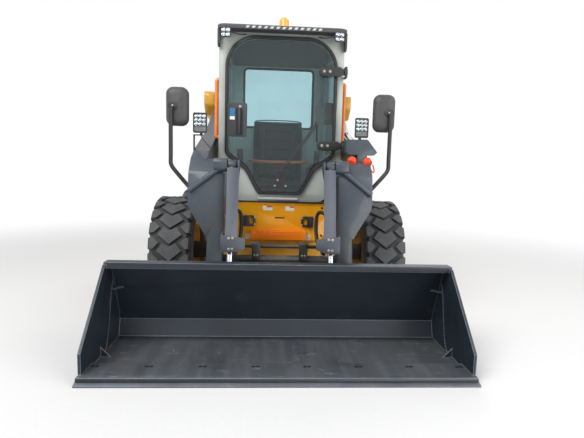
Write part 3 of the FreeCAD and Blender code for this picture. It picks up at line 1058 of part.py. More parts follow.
guards = []
for hand, side in SIDES:
    guards.append(slab(f"guard_plate_{hand}", "YZ", (
        ("guard_top_y", "guard_top_z"), ("guard_top_y - guard_thick", "guard_top_z"),
        ("guard_low_y - guard_thick", "guard_low_z"), ("guard_low_y", "guard_low_z"),
    ), *span(side, "guard_in", "guard_out")))
    cheek = slab(f"guard_cheek_{hand}", "YZ", (
        ("tilt_base_y + guard_cheek_half", "tilt_base_z - guard_cheek_half", "tie_bar_radius"),
        ("tilt_base_y + guard_cheek_half", "tilt_base_z + guard_cheek_half", "boss_round"),
        ("guard_top_y - guard_thick", "tilt_base_z + guard_cheek_half", "boss_round"),
        ("guard_top_y - guard_thick", "guard_top_z"), ("guard_top_y - guard_thick",
                                                       "guard_top_z - 2 * guard_cheek_half"),
    ), *span(side, "guard_in", "guard_in + guard_thick"))
    bore = rod(f"guard_bore_{hand}", "x", span(side, "guard_in - 1", "guard_in + guard_thick + 1"),
               ("tilt_base_y", "tilt_base_z"), "tilt_pin_radius + fit_gap")
    guards.append(cut(f"guard_eye_{hand}", cheek, [bore]))
    seat_x = "leg_in - fit_gap"
    guards.append(slab(f"guard_pad_{hand}", "XZ", handed(side, (
        (seat_x, "pad_top_z"), (seat_x, "pad_low_z"), ("pad_foot_x", "pad_low_z"),
        ("pad_tip_x", "pad_tip_low_z"),
        ("pad_tip_x", "pad_tip_top_z"),
    )), "-guard_low_y", "-guard_low_y + pad_thick"))
    guards.append(box(f"guard_foot_{hand}", span(side, f"{seat_x} - pad_thick", seat_x),
                      ("guard_low_y - 1", "pad_rear_y"),
                      ("pad_low_z", "pad_top_z")))
sub_part("tilt_guards", fuse("tilt_guards", guards))

# Cylinders: each barrel turns on its base pin and its rod slides towards an eye between two lugs


def cylinder_pair(kind, hand, side, base, eye):
    """A barrel with its base eye and a rod with its end eye, laid between two pins."""
    width, eye_radius, tube_radius = f"{kind}_eye_width", f"{kind}_eye_radius", f"{kind}_barrel_radius"
    length, pin, shaft_radius = f"{kind}_barrel_length", f"{kind}_pin_radius", f"{kind}_rod_radius"
    reach_y, reach_z = f"({eye[0]} - {base[0]})", f"({eye[1]} - {base[1]})"
    reach = f"sqrt({reach_y}^2 + {reach_z}^2)"
    across = middle("0", f"{width} / 2")
    barrel = cut(f"{kind}_barrel_{hand}", fuse(f"{kind}_barrel_solid_{hand}", [
        rod(f"{kind}_tube_{hand}", "z", (f"{eye_radius} / 2", length), ("0", "0"), tube_radius),
        rod(f"{kind}_gland_{hand}", "z", (f"{length} - gland_length", length), ("0", "0"),
            f"{tube_radius} + gland_rise"),
        rod(f"{kind}_barrel_eye_{hand}", "x", across, ("0", "0"), eye_radius),
    ]), [
        rod(f"{kind}_pin_hole_{hand}", "x", middle("0", f"{tube_radius} + 1"), ("0", "0"),
            f"{pin} + pin_play"),
        rod(f"{kind}_bore_{hand}", "z", (f"{eye_radius} + bore_start", f"{length} + 1"), ("0", "0"),
            f"{shaft_radius} + 1"),
    ])
    shaft = fuse(f"{kind}_rod_{hand}", [
        rod(f"{kind}_shaft_{hand}", "z", (f"{eye_radius} + bore_start + {kind}_rod_tuck",
                                          f"{reach} - {eye_radius} / 2"),
            ("0", "0"), shaft_radius),
        rod(f"{kind}_rod_eye_{hand}", "x", across, ("0", reach), eye_radius),
    ])
    for piece in (barrel, shaft):
        bind(piece, "Placement.Base.x", f"{side} * {kind}_centre_x")
        bind(piece, "Placement.Base.y", base[0])
        bind(piece, "Placement.Base.z", base[1])
        piece.Placement.Rotation = FreeCAD.Rotation(FreeCAD.Vector(1, 0, 0), 0)
        bind(piece, "Placement.Rotation.Angle", f"-atan2({reach_y}; {reach_z})")
        sub_part(piece.Name, piece)


for hand, side in SIDES:
    cylinder_pair("lift", hand, side, ("lift_base_y", "lift_base_z"),
                  along_beam("lift_eye_run", "-lift_eye_drop"))
    cylinder_pair("tilt", hand, side, ("tilt_base_y", "tilt_base_z"), ("tilt_eye_y", "tilt_eye_z"))

# Quick coupler: a plate that leans with the bucket's back and carries the ears

lean_cos = "cos(bucket_lean * 1deg)"
lean_sin = "sin(bucket_lean * 1deg)"


def on_back(up, behind):
    """The (y, z) rules of a spot up the bucket's leaning back and behind its inner face."""
    return (f"heel_y - ({up}) * {lean_sin} + ({behind}) * {lean_cos}",
            f"heel_z + ({up}) * {lean_cos} + ({behind}) * {lean_sin}")


plate_front = "(bucket_skin + fit_gap)"
plate_back = f"({plate_front} + coupler_plate)"
plate = slab("coupler_board", "YZ", (
    on_back("coupler_low", plate_front), on_back("coupler_high", plate_front),
    on_back("coupler_high", plate_back),
    on_back("coupler_low", plate_back),
), "-coupler_half", "coupler_half")
sight = slab("coupler_sight", "YZ", (
    on_back("coupler_low + coupler_border", "0"), on_back("coupler_high - coupler_border", "0"),
    on_back("coupler_high - coupler_border", "5 * coupler_plate"),
    on_back("coupler_low + coupler_border", "5 * coupler_plate"),
), "-(tilt_centre_x - tilt_eye_width)", "tilt_centre_x - tilt_eye_width")
notches = [slab(f"coupler_notch_{hand}", "YZ", (
    on_back("coupler_low + coupler_border", "0"), on_back("coupler_high + ear_thick", "0"),
    on_back("coupler_high + ear_thick", "5 * coupler_plate"),
    on_back("coupler_low + coupler_border", "5 * coupler_plate"),
), *span(side, "tilt_centre_x - tilt_eye_width / 2 - side_play", tilt_out)) for hand, side in SIDES]
coupler_parts = [cut("coupler_window", plate, [sight] + notches)]
EARS = (
    # name, near, far, reaches the tilt cylinder
    ("in", "tilt_centre_x - tilt_eye_width / 2 - side_play - ear_thick",
     "tilt_centre_x - tilt_eye_width / 2 - side_play", True),
    ("mid", tilt_out, "leg_in - side_play", True),
    ("out", "leg_out + side_play", "leg_out + side_play + ear_thick", False),
)
for hand, side in SIDES:
    root = f"({plate_front} + 4)"
    for ear, near, far, tall in EARS:
        top = (("tilt_eye_y - 30", "tilt_eye_z + 44"), ("tilt_eye_y + 40", "tilt_eye_z + 40",
                                                        "ear_round")) if tall else (
            ("bucket_pin_y - 60", "bucket_pin_z + 60"), ("bucket_pin_y + 20", "bucket_pin_z + 56",
                                                         "boss_round"))
        coupler_parts.append(slab(f"ear_{ear}_{hand}", "YZ", (
            on_back("coupler_low", root), on_back("coupler_high - 2 * ear_thick" if tall else "coupler_high / 2 + coupler_border", root),
        ) + top + (("bucket_pin_y + 46", "bucket_pin_z + 20", "boss_round"),
                   ("bucket_pin_y + 46", "bucket_pin_z - 46", "ear_round")),
            *span(side, near, far)))
    coupler_parts.append(rod(f"bucket_pin_{hand}", "x", span(side, f"{tilt_out} + 1",
            "leg_out + side_play + 2 * ear_thick"),
                             ("bucket_pin_y", "bucket_pin_z"), "bucket_pin_radius"))
sub_part("quick_coupler", fuse("quick_coupler", coupler_parts))

# Bucket: floor, heel, leaning back, side plates, top rail, gussets and ribs, with a bolted cutting edge

edge_back = "edge_y + edge_depth"
under = "floor_z - bucket_skin"
over_edge = "edge_thick + fit_gap"
outer_heel = on_back("-bucket_skin / 2", "bucket_skin")
outer_top = (f"bucket_top_y + bucket_skin / {lean_cos}", "bucket_top_z")
shell = slab("bucket_bent_plate", "YZ", (
    ("lip_y", over_edge), (f"{edge_back} + fit_gap", over_edge), (f"{edge_back} + fit_gap", under),
    ("floor_rear_y + bucket_skin / 2", under), outer_heel, outer_top, ("bucket_top_y", "bucket_top_z"),
    ("heel_y", "heel_z"),
    ("floor_rear_y", "floor_z"), ("lip_y + lip_depth", "floor_z"),
    ("lip_y + lip_depth - side_play", f"{over_edge} + lip_thick"),
    ("lip_y + side_play", f"{over_edge} + lip_thick"), ("lip_y", f"{over_edge} + lip_thick / 2"),
), "-bucket_half", "bucket_half")
bucket_parts = [shell, box("bucket_rail", ("-bucket_half", "bucket_half"),
                           ("bucket_top_y - rail_depth", "bucket_top_y + 1"),
                           ("bucket_top_z - rail_height", "bucket_top_z"))]
side_inner = "bucket_half - side_plate_thick"
for hand, side in SIDES:
    bucket_parts.append(slab(f"side_plate_{hand}", "YZ", (
        ("edge_y + side_foot_run", over_edge), ("edge_y + side_foot_run", "side_nose_z"),
        ("side_brow_y", "bucket_top_z - side_brow_drop", "side_round"), outer_top, outer_heel,
        ("floor_rear_y + bucket_skin / 2", under),
        (f"{edge_back} + fit_gap", under), (f"{edge_back} + fit_gap", over_edge),
    ), *span(side, side_inner, "bucket_half")))
    bucket_parts.append(slab(f"gusset_low_{hand}", "XZ", handed(side, (
        (f"{side_inner} - gusset_leg", "floor_z - 1"), (f"{side_inner} + 1", "floor_z - 1"),
        (f"{side_inner} + 1", "floor_z + gusset_leg"),
    )), *middle("-gusset_low_y", "gusset_thick / 2")))
    back_y = "(heel_y + (bucket_top_y - heel_y) * (gusset_high_z - heel_z) / (bucket_top_z - heel_z))"
    bucket_parts.append(slab(f"gusset_high_{hand}", "XY", handed(side, (
        (f"{side_inner} - gusset_leg", f"{back_y} + bucket_skin / 2"),
        (f"{side_inner} + 1", f"{back_y} + bucket_skin / 2"),
        (f"{side_inner} + 1", f"{back_y} - gusset_leg"),
    )), *middle("gusset_high_z", "gusset_thick / 2")))
    for place in ("near", "far"):
        bucket_parts.append(slab(f"back_rib_{place}_{hand}", "YZ", (
            on_back("rib_depth", "bucket_skin - 1"), on_back("coupler_high", "bucket_skin - 1"),
            on_back("coupler_high - rib_depth", "bucket_skin + rib_depth"),
            on_back("2 * rib_depth", "bucket_skin + rib_depth"),
        ), *middle(f"{side} * rib_{place}_x", "rib_thick / 2")))
sub_part("bucket_shell", fuse("bucket_shell", bucket_parts))

sub_part("cutting_edge", slab("edge_bar", "YZ", (
    ("edge_y", "0"), (edge_back, "0"), (edge_back, "edge_thick"), ("edge_y + edge_bevel", "edge_thick"),
    ("edge_y", "edge_tip"),
), "-edge_half", "edge_half"))

# Arm fittings: lamps, mirrors on bent tubes and the hydraulic coupler block

lamps = []
mirrors = []
tubes = []
for hand, side in SIDES:
    lamp_foot = "arm_lamp_z - arm_lamp_tall"
    lamp_back = "arm_lamp_y + lamp_depth"
    lamps.append(work_lamp(f"arm_lamp_{hand}", (f"{side} * arm_lamp_x", "arm_lamp_y", "arm_lamp_z"),
                           "arm_lamp_half", "arm_lamp_tall", [
        box(f"lamp_post_{hand}", middle(f"{side} * arm_lamp_x", "lamp_corner"),
            (f"{lamp_back} - 1", f"{lamp_back} + lamp_arm_half"),
            (f"{lamp_foot} - 2 * lamp_arm", "arm_lamp_z")),
        box(f"lamp_shelf_{hand}", span(side, "arm_lamp_x - lamp_corner", "arm_out + fit_gap + lamp_arm"),
            (f"{lamp_back} - 1", f"{lamp_back} + 2 * lamp_arm_half"),
            (f"{lamp_foot} - 2 * lamp_arm", f"{lamp_foot} - lamp_arm")),
        box(f"lamp_plate_{hand}", span(side, "arm_out + fit_gap", "arm_out + fit_gap + lamp_arm"),
            (f"{lamp_back} - 1", f"{lamp_back} + 2 * lamp_arm_half"),
            ("shoulder_z - 2 * arm_lamp_half", f"{lamp_foot} - lamp_arm")),
    ]))
    mirror_x, tube_x = f"{side} * mirror_x", f"{side} * mirror_tube_x"
    front, rear = "mirror_y - mirror_depth / 2", "mirror_y + mirror_depth / 2"
    outline = cut_rectangle(mirror_x, "mirror_z", "mirror_half_width", "mirror_half_height", "mirror_corner")
    shell = fuse(f"mirror_shell_{hand}", [
        slab(f"mirror_rim_{hand}", "XZ", outline, f"-({rear})", f"-({rear} - mirror_rim)"),
        taper(f"mirror_back_{hand}", "XZ", outline, cut_rectangle(
            mirror_x, "mirror_z", "mirror_half_width - mirror_taper", "mirror_half_height - mirror_taper",
            "mirror_corner"),
            f"-({rear} - mirror_rim)", f"-({front})"),
    ])
    pane_rest = slab(f"mirror_recess_{hand}", "XZ", cut_rectangle(
        mirror_x, "mirror_z", "mirror_half_width - lamp_bezel", "mirror_half_height - lamp_bezel",
        "mirror_corner"),
        f"-({rear} + 1)", f"-({rear} - lamp_recess)")
    mirrors.append(cut(f"mirror_{hand}", shell, [pane_rest]))
    tube_y = f"{front} - mirror_tube_radius - fit_gap"
    bend = (tube_x, tube_y, "mirror_bend_z")
    tubes += [
        rod(f"mirror_post_{hand}", "z", ("mirror_bend_z", "mirror_z"), (tube_x, tube_y),
            "mirror_tube_radius"),
        ball(f"mirror_tip_{hand}", (tube_x, tube_y, "mirror_z"), "mirror_tube_radius"),
        ball(f"mirror_bend_{hand}", bend, "mirror_tube_radius"),
        slant_rod(f"mirror_slope_{hand}", (f"{side} * (arm_out + 1.5 * mirror_foot_thick)", tube_y,
                                           "mirror_foot_z"), bend,
                  "mirror_tube_radius"),
        rod(f"mirror_boss_{hand}", "y", (f"{tube_y} - mirror_tube_radius - fit_gap", f"{front} - fit_gap"),
            (f"{tube_x}", "mirror_z"), "mirror_boss_radius"),
        box(f"mirror_foot_{hand}", span(side, "arm_out + fit_gap", "arm_out + 2 * mirror_foot_thick"),
            middle(tube_y, "mirror_foot_half"), middle("mirror_foot_z", "mirror_foot_half")),
    ]
sub_part("arm_lamps", fuse("arm_lamps", lamps))
sub_part("mirrors", fuse("mirrors", mirrors))
sub_part("mirror_tubes", fuse("mirror_tubes", tubes))

hex_block = slab("coupler_hexagon", "XZ", (
    ("block_in", "block_top_z"), ("block_out - block_slant", "block_top_z"), ("block_out", "block_waist_z"),
    ("block_out - block_under", "block_low_z"), ("block_in + block_under", "block_low_z"),
    ("block_in", "block_waist_z"),
), "-block_rear_y", "-block_front_y")
crest_slope = "((shoulder_z - crest_z) / (shoulder_y - crest_y))"
plinth = slab("coupler_plinth", "YZ", [(across, up) for across, up in (
    ("block_front_y", f"crest_z + (block_front_y - crest_y) * {crest_slope} + fit_gap"),
    ("block_rear_y", f"crest_z + (block_rear_y - crest_y) * {crest_slope} + fit_gap"),
    ("block_rear_y", "block_low_z + 1"), ("block_front_y", "block_low_z + 1"),
)], "beam_in + block_under", "arm_out - block_under")
sub_part("coupler_block", fuse("coupler_block", [hex_block, plinth]))

# Check every object and write one file per sub-part

doc.recompute()
for item in doc.Objects:
    if "Invalid" in item.State or "Error" in item.State:
        raise RuntimeError(f"{item.Label} failed: {item.State}")
os.makedirs("parts", exist_ok=True)
for item in SUB_PARTS:
    if item.Shape.isNull() or not item.Shape.isValid():
        raise RuntimeError(f"{item.Label} has no valid shape")
    item.Shape.exportStep(f"parts/{item.Label}.step")
print(len(SUB_PARTS), "sub-parts written")
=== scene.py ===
"""Skid steer loader: finishes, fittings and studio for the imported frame."""
import json
import math

import bmesh
import bpy
from bpy.props import FloatProperty, FloatVectorProperty, IntProperty, PointerProperty
from mathutils import Matrix, Vector
from mathutils.bvhtree import BVHTree

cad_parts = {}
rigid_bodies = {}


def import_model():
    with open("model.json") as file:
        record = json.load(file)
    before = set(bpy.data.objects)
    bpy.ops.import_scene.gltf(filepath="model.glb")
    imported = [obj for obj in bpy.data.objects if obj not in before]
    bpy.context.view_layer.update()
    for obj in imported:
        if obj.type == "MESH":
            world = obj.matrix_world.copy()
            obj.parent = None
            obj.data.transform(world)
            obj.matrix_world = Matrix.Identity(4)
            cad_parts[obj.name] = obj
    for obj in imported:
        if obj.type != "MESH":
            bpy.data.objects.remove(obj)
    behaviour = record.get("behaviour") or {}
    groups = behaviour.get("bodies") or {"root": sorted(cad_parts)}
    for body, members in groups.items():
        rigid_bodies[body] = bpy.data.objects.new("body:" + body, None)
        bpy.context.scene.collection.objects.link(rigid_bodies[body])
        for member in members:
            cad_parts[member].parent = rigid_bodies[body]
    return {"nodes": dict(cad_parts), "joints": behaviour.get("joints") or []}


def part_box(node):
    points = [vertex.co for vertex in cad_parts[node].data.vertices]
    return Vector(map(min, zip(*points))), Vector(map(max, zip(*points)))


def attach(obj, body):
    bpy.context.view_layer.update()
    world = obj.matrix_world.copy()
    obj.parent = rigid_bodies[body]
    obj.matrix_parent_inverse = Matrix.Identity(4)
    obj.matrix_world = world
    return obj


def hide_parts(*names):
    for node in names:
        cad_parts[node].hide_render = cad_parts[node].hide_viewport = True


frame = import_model()

bl_info = {
    "name": "Skid steer loader",
    "version": (1, 0, 0),
    "blender": (4, 5, 0),
    "location": "View3D > Sidebar > Loader",
    "description": "Finishes, fittings and studio of a skid steer loader",
    "category": "Object",
}

NODES = frame["nodes"]
SIDES = (("left", 1), ("right", -1))
AXLES = (("rear", 815), ("front", -287))
AXLE_LEVEL = 414
FORWARD = Vector((0, -1, 0))
UPWARD = Vector((0, 0, 1))
FINISHES = {}


# Places: where a fitting lands on the solids, in millimetres of the drawing

AIMS = {
    # seen from: way of the line, then the two axes that a spot's numbers run along
    "front": ((0, 1, 0), (0, 2)), "rear": ((0, -1, 0), (0, 2)), "top": ((0, 0, -1), (0, 1)),
    "left": ((-1, 0, 0), (1, 2)), "right": ((1, 0, 0), (1, 2)), "below": ((0, 0, 1), (0, 1)),
}
SKINS = {}


def mm(*lengths):
    """Millimetres of the drawing as metres."""
    return Vector([length / 1000 for length in lengths])


def skin(node):
    """The search tree of a CAD node's triangles, made once."""
    if node not in SKINS:
        mesh = NODES[node].data
        SKINS[node] = BVHTree.FromPolygons(
            [vertex.co for vertex in mesh.vertices], [face.vertices for face in mesh.polygons])
    return SKINS[node]


def landing(node, seen_from, spot, start=3500):
    """Where a straight line from outside meets a CAD node, and the way that its face looks there."""
    aim, axes = AIMS[seen_from]
    origin = [-start * step for step in aim]
    origin[axes[0]], origin[axes[1]] = spot
    place, facing, _, _ = skin(node).ray_cast(mm(*origin), Vector(aim))
    if place is None:
        raise RuntimeError(f"no face of {node} lies at {spot} seen from the {seen_from}")
    return place, facing


def both_sides(*spots):
    """The spots and their mirror images across the middle of the loader."""
    return tuple(spots) + tuple((-across, up) for across, up in spots)


def ring(across, up, radius, count, start=0.0):
    """Spots evenly round a circle."""
    turns = [start + 2 * math.pi * step / count for step in range(count)]
    return tuple((across + radius * math.cos(turn), up + radius * math.sin(turn)) for turn in turns)


def evenly(start, end, count):
    """Numbers at equal steps from start to end."""
    return [start + (end - start) * step / (count - 1) for step in range(count)]


def mirrored(route, side):
    """A route drawn for the loader's left, as it runs on one side."""
    return [(side * across, along, up) for across, along, up in route]


# Mesh building blocks

def link(name, mesh):
    """Link a mesh or curve to the scene as an object."""
    piece = bpy.data.objects.new(name, mesh)
    bpy.context.scene.collection.objects.link(piece)
    return piece


def finish_as(piece, finish, body):
    """Give a piece its finish and the body that it rides on."""
    piece.data.materials.clear()
    piece.data.materials.append(FINISHES[finish])
    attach(piece, body)
    return piece


def add_piece(name, mesh, finish, body):
    """Link a mesh as a piece that rides on a body, in a finish."""
    mesh.name = name
    return finish_as(link(name, mesh), finish, body)


def corner_loop(middle, level, half_wide, half_tall, radius, depth, steps=6):
    """Points round an upright rectangle with round corners."""
    loop = []
    for start, across, up in ((0, 1, 1), (90, -1, 1), (180, -1, -1), (270, 1, -1)):
        for step in range(steps + 1):
            turn = math.radians(start + 90 * step / steps)
            loop.append(mm(middle + across * (half_wide - radius) + radius * math.cos(turn), depth,
                           level + up * (half_tall - radius) + radius * math.sin(turn)))
    return loop


def stack(shape, loops):
    """Skin loops of equal length one after the other and close both ends."""
    rows = [[shape.verts.new(point) for point in loop] for loop in loops]
    for low, high in zip(rows, rows[1:]):
        for step in range(len(low)):
            follow = (step + 1) % len(low)
            shape.faces.new((low[step], low[follow], high[follow], high[step]))
    shape.faces.new(rows[0])
    shape.faces.new(reversed(rows[-1]))


def mesh_from(shape, smooth=True):
    """A closed bmesh as a mesh with its faces outwards."""
    bmesh.ops.recalc_face_normals(shape, faces=shape.faces)
    mesh = bpy.data.meshes.new("piece")
    shape.to_mesh(mesh)
    shape.free()
    for face in mesh.polygons:
        face.use_smooth = smooth
    return mesh


def rounded(piece, width=0.001, segments=2, angle=30):
    """Soften the edges of a piece."""
    bevel = piece.modifiers.new("Edges", "BEVEL")
    bevel.width = width
    bevel.segments = segments
    bevel.angle_limit = math.radians(angle)
    bevel.harden_normals = True
    return piece


def block(shape, low, high):
    """Add a box between two corners given in millimetres."""
    corner, size = mm(*low), mm(*high) - mm(*low)
    frame_at = Matrix.Translation(corner + size / 2) @ Matrix.Diagonal((*size, 1))
    return bmesh.ops.create_cube(shape, size=1, matrix=frame_at)["verts"]


def outline_plate(shape, corners, depth):
    """Add a flat plate from its corner points, carried back by depth."""
    face = shape.faces.new([shape.verts.new(corner) for corner in corners])
    carried = bmesh.ops.extrude_face_region(shape, geom=[face])["geom"]
    bmesh.ops.translate(shape, verts=[item for item in carried if isinstance(item, bmesh.types.BMVert)], vec=depth)


def turned(shape, profile, spot, facing, segments=24):
    """Add a closed turned form: radius and height pairs in millimetres, set up on a spot along facing."""
    turn = Vector(facing).to_track_quat("Z", "Y").to_matrix().to_4x4()
    place = Matrix.Translation(spot) @ turn
    rings = []
    for radius, height in profile:
        if radius == 0:
            rings.append([shape.verts.new(place @ mm(0, 0, height))])
            continue
        rings.append([shape.verts.new(place @ mm(radius * math.cos(a), radius * math.sin(a), height))
                      for a in (2 * math.pi * step / segments for step in range(segments))])
    for lower, upper in zip(rings, rings[1:]):
        for step in range(segments):
            corners = [lower[step % len(lower)], lower[(step + 1) % len(lower)],
                       upper[(step + 1) % len(upper)], upper[step % len(upper)]]
            shape.faces.new(list(dict.fromkeys(corners)))
    for end in (rings[0], rings[-1]):
        if len(end) > 1:
            shape.faces.new(end)


def fitting(name, shape, finish, body, edge=None, segments=2):
    """Link a bmesh as a piece, with its edges rounded where a width is given."""
    piece = add_piece(name, mesh_from(shape), finish, body)
    return rounded(piece, edge, segments) if edge else piece


def boxes(name, corners, finish, body, edge=None, segments=2):
    """A piece made of boxes, each between its two corners in millimetres."""
    shape = bmesh.new()
    for low, high in corners:
        block(shape, low, high)
    return fitting(name, shape, finish, body, edge, segments)


def turning(name, profile, spot, facing, finish, body, edge=None, sides=24):
    """A piece made of one turned form."""
    shape = bmesh.new()
    turned(shape, profile, spot, facing, sides)
    return fitting(name, shape, finish, body, edge)


# Geometry trees: each has named inputs and ends in Realize Instances and Set Material

class Growth:
    """A geometry tree that grows small repeated forms on points or along a path."""

    def __init__(self, name, **sizes):
        self.tree = bpy.data.node_groups.new(name, "GeometryNodeTree")
        face = self.tree.interface
        face.new_socket("Geometry", in_out="INPUT", socket_type="NodeSocketGeometry")
        for size, value in sizes.items():
            kind = "NodeSocketInt" if isinstance(value, int) else "NodeSocketFloat"
            socket = face.new_socket(size.replace("_", " ").capitalize(), in_out="INPUT", socket_type=kind)
            socket.default_value = value
        face.new_socket("Finish", in_out="INPUT", socket_type="NodeSocketMaterial")
        face.new_socket("Geometry", in_out="OUTPUT", socket_type="NodeSocketGeometry")
        self.start = self.tree.nodes.new("NodeGroupInput")
        self.end = self.tree.nodes.new("NodeGroupOutput")
        self.source = self.start.outputs["Geometry"]

    def size(self, name):
        return self.start.outputs[name]

    def node(self, kind, settings=None, inputs=None, output=0):
        """Add a node, with its settings first and then the values or links of its sockets."""
        node = self.tree.nodes.new(kind)
        for name, value in (settings or {}).items():
            setattr(node, name, value)
        for name, value in (inputs or {}).items():
            socket = node.inputs[name]
            for item in value if isinstance(value, list) else [value]:
                if isinstance(item, bpy.types.NodeSocket):
                    self.tree.links.new(item, socket)
                else:
                    socket.default_value = item
        return node.outputs[output]

    def maths(self, operation, *values):
        return self.node("ShaderNodeMath", {"operation": operation}, dict(enumerate(values)))

    def named(self, name, kind="FLOAT"):
        return self.node("GeometryNodeInputNamedAttribute", {"data_type": kind}, {"Name": name})

    def drum(self, sides, radius, depth, height):
        """A prism standing with its middle at a height."""
        sizes = {"Vertices": sides, "Radius": radius, "Depth": depth}
        prism = self.node("GeometryNodeMeshCylinder", None, sizes, "Mesh")
        move = self.node("ShaderNodeCombineXYZ", None, {"Z": height})
        return self.node("GeometryNodeTransform", None, {"Geometry": prism, "Translation": move})

    def stand(self, form):
        """Stand a form of unit radius on every point, along the point's facing and scaled by its radius."""
        facing = {"Vector": self.named("facing", "FLOAT_VECTOR")}
        turn = self.node("FunctionNodeAlignRotationToVector", {"axis": "Z"}, facing)
        return self.node("GeometryNodeInstanceOnPoints", None, {
            "Points": self.source, "Instance": form, "Rotation": turn, "Scale": self.named("radius")})

    def close(self, geometry):
        plain = self.node("GeometryNodeRealizeInstances", None, {"Geometry": geometry})
        done = self.node("GeometryNodeSetMaterial", None, {"Geometry": plain, "Material": self.size("Finish")})
        self.tree.links.new(done, self.end.inputs["Geometry"])
        return self

    def grow(self, name, source, finish, body, slot, **sizes):
        """Run the tree on a mesh or curve and link the plain mesh that it gives."""
        seed = link(name + "_seed", source)
        modifier = seed.modifiers.new("Growth", "NODES")
        modifier.node_group = self.tree
        values = {key.replace("_", " ").capitalize(): value for key, value in sizes.items()}
        values["Finish"] = FINISHES[finish]
        for item in self.tree.interface.items_tree:
            if item.in_out == "INPUT" and item.name in values:
                modifier[item.identifier] = values[item.name]
        bpy.context.view_layer.update()
        graph = bpy.context.evaluated_depsgraph_get()
        mesh = bpy.data.meshes.new_from_object(seed.evaluated_get(graph), depsgraph=graph)
        seed.modifiers.clear()
        bpy.data.objects.remove(seed)
        return add_piece(name, mesh, finish, body)


def points_mesh(places, radius):
    """Loose points with the way they face and their radius, for a Growth to stand forms on."""
    mesh = bpy.data.meshes.new("places")
    mesh.from_pydata([place for place, _ in places], [], [])
    facing = mesh.attributes.new("facing", "FLOAT_VECTOR", "POINT")
    facing.data.foreach_set("vector", [part for _, way in places for part in way])
    mesh.attributes.new("radius", "FLOAT", "POINT").data.foreach_set("value", [radius / 1000] * len(places))
    return mesh


def path_curve(points, cyclic=False):
    """A smooth path through space, as a curve with no thickness."""
    curve = bpy.data.curves.new("path", "CURVE")
    curve.dimensions = "3D"
    line = curve.splines.new("NURBS")
    line.points.add(len(points) - 1)
    for control, point in zip(line.points, points):
        control.co = (*mm(*point), 1)
    line.use_cyclic_u = cyclic
    line.order_u = 3
    line.use_endpoint_u = not cyclic
    line.resolution_u = 10
    return curve


def hexagon_bolt():
    """A hexagon head with its chamfer, washer and thread end, of unit radius."""
    g = Growth("hexagon_bolt", head_height=0.62, washer_radius=1.30)
    height = g.size("Head height")
    head = g.drum(6, 1.0, height, g.maths("MULTIPLY_ADD", height, 0.5, 0.12))
    top = g.node("GeometryNodeMeshCone", None, {
        "Vertices": 12, "Radius Top": 0.66, "Radius Bottom": 0.86, "Depth": 0.12}, "Mesh")
    lift = g.node("ShaderNodeCombineXYZ", None, {"Z": g.maths("ADD", height, 0.10)})
    top = g.node("GeometryNodeTransform", None, {"Geometry": top, "Translation": lift})
    washer = g.drum(16, g.size("Washer radius"), 0.24, 0.0)
    return g.close(g.stand(g.node("GeometryNodeJoinGeometry", None, {"Geometry": [head, top, washer]})))


def round_rivet():
    """A low domed head of unit radius."""
    g = Growth("round_rivet", rise=0.5)
    dome = g.node("GeometryNodeMeshUVSphere", None, {"Segments": 12, "Rings": 6, "Radius": 1.0}, "Mesh")
    squash = g.node("ShaderNodeCombineXYZ", None, {"X": 1.0, "Y": 1.0, "Z": g.size("Rise")})
    return g.close(g.stand(g.node("GeometryNodeTransform", None, {"Geometry": dome, "Scale": squash})))


def lamp_cup():
    """An open bright cup with a small emitter at its foot, of unit radius."""
    g = Growth("lamp_cup", depth=0.9)
    cup = g.node("GeometryNodeMeshCone", {"fill_type": "NONE"}, {
        "Vertices": 16, "Radius Top": 0.96, "Radius Bottom": 0.42, "Depth": g.size("Depth")}, "Mesh")
    emitter = g.node("GeometryNodeMeshUVSphere", None, {"Segments": 8, "Rings": 4, "Radius": 0.40}, "Mesh")
    drop = g.node("ShaderNodeCombineXYZ", None, {"Z": 0.12})
    emitter = g.node("GeometryNodeTransform", None, {"Geometry": emitter, "Translation": drop})
    return g.close(g.stand(g.node("GeometryNodeJoinGeometry", None, {"Geometry": [cup, emitter]})))


def path_tube():
    """A tube along a path, with waves for a spiral wrap or a corrugated sleeve."""
    g = Growth("path_tube", radius=0.008, wave_pitch=0.01, wave_height=0.0, sides=12)
    step = g.maths("DIVIDE", g.size("Wave pitch"), 4.0)
    line = g.node("GeometryNodeResampleCurve", {"mode": "LENGTH"}, {"Curve": g.source, "Length": step})
    along = g.node("GeometryNodeSplineParameter", None, None, "Length")
    turn = g.maths("MULTIPLY", g.maths("DIVIDE", along, g.size("Wave pitch")), 2 * math.pi)
    swell = g.maths("MULTIPLY_ADD", g.maths("SINE", turn), g.size("Wave height"), 1.0)
    sides = {"Resolution": g.size("Sides"), "Radius": 1.0}
    round_line = g.node("GeometryNodeCurvePrimitiveCircle", None, sides, "Curve")
    tube = g.node("GeometryNodeCurveToMesh", None, {
        "Curve": line, "Profile Curve": round_line, "Fill Caps": True,
        "Scale": g.maths("MULTIPLY", swell, g.size("Radius"))})
    return g.close(g.node("GeometryNodeSetShadeSmooth", None, {"Geometry": tube}))


def weld_bead():
    """Overlapping flattened beads laid along a path."""
    g = Growth("weld_bead", bead=0.0055, pitch=0.006)
    line = g.node("GeometryNodeResampleCurve", {"mode": "LENGTH"}, {"Curve": g.source, "Length": g.size("Pitch")})
    dots = g.node("GeometryNodeCurveToPoints", {"mode": "EVALUATED"}, {"Curve": line})
    drop = g.node("GeometryNodeMeshIcoSphere", None, {"Radius": g.size("Bead"), "Subdivisions": 2}, "Mesh")
    uneven = g.node("FunctionNodeRandomValue", {"data_type": "FLOAT"}, {2: 0.85, 3: 1.15, "Seed": 7}, 1)
    laid = g.node("GeometryNodeInstanceOnPoints", None, {"Points": dots, "Instance": drop, "Scale": uneven})
    return g.close(laid)


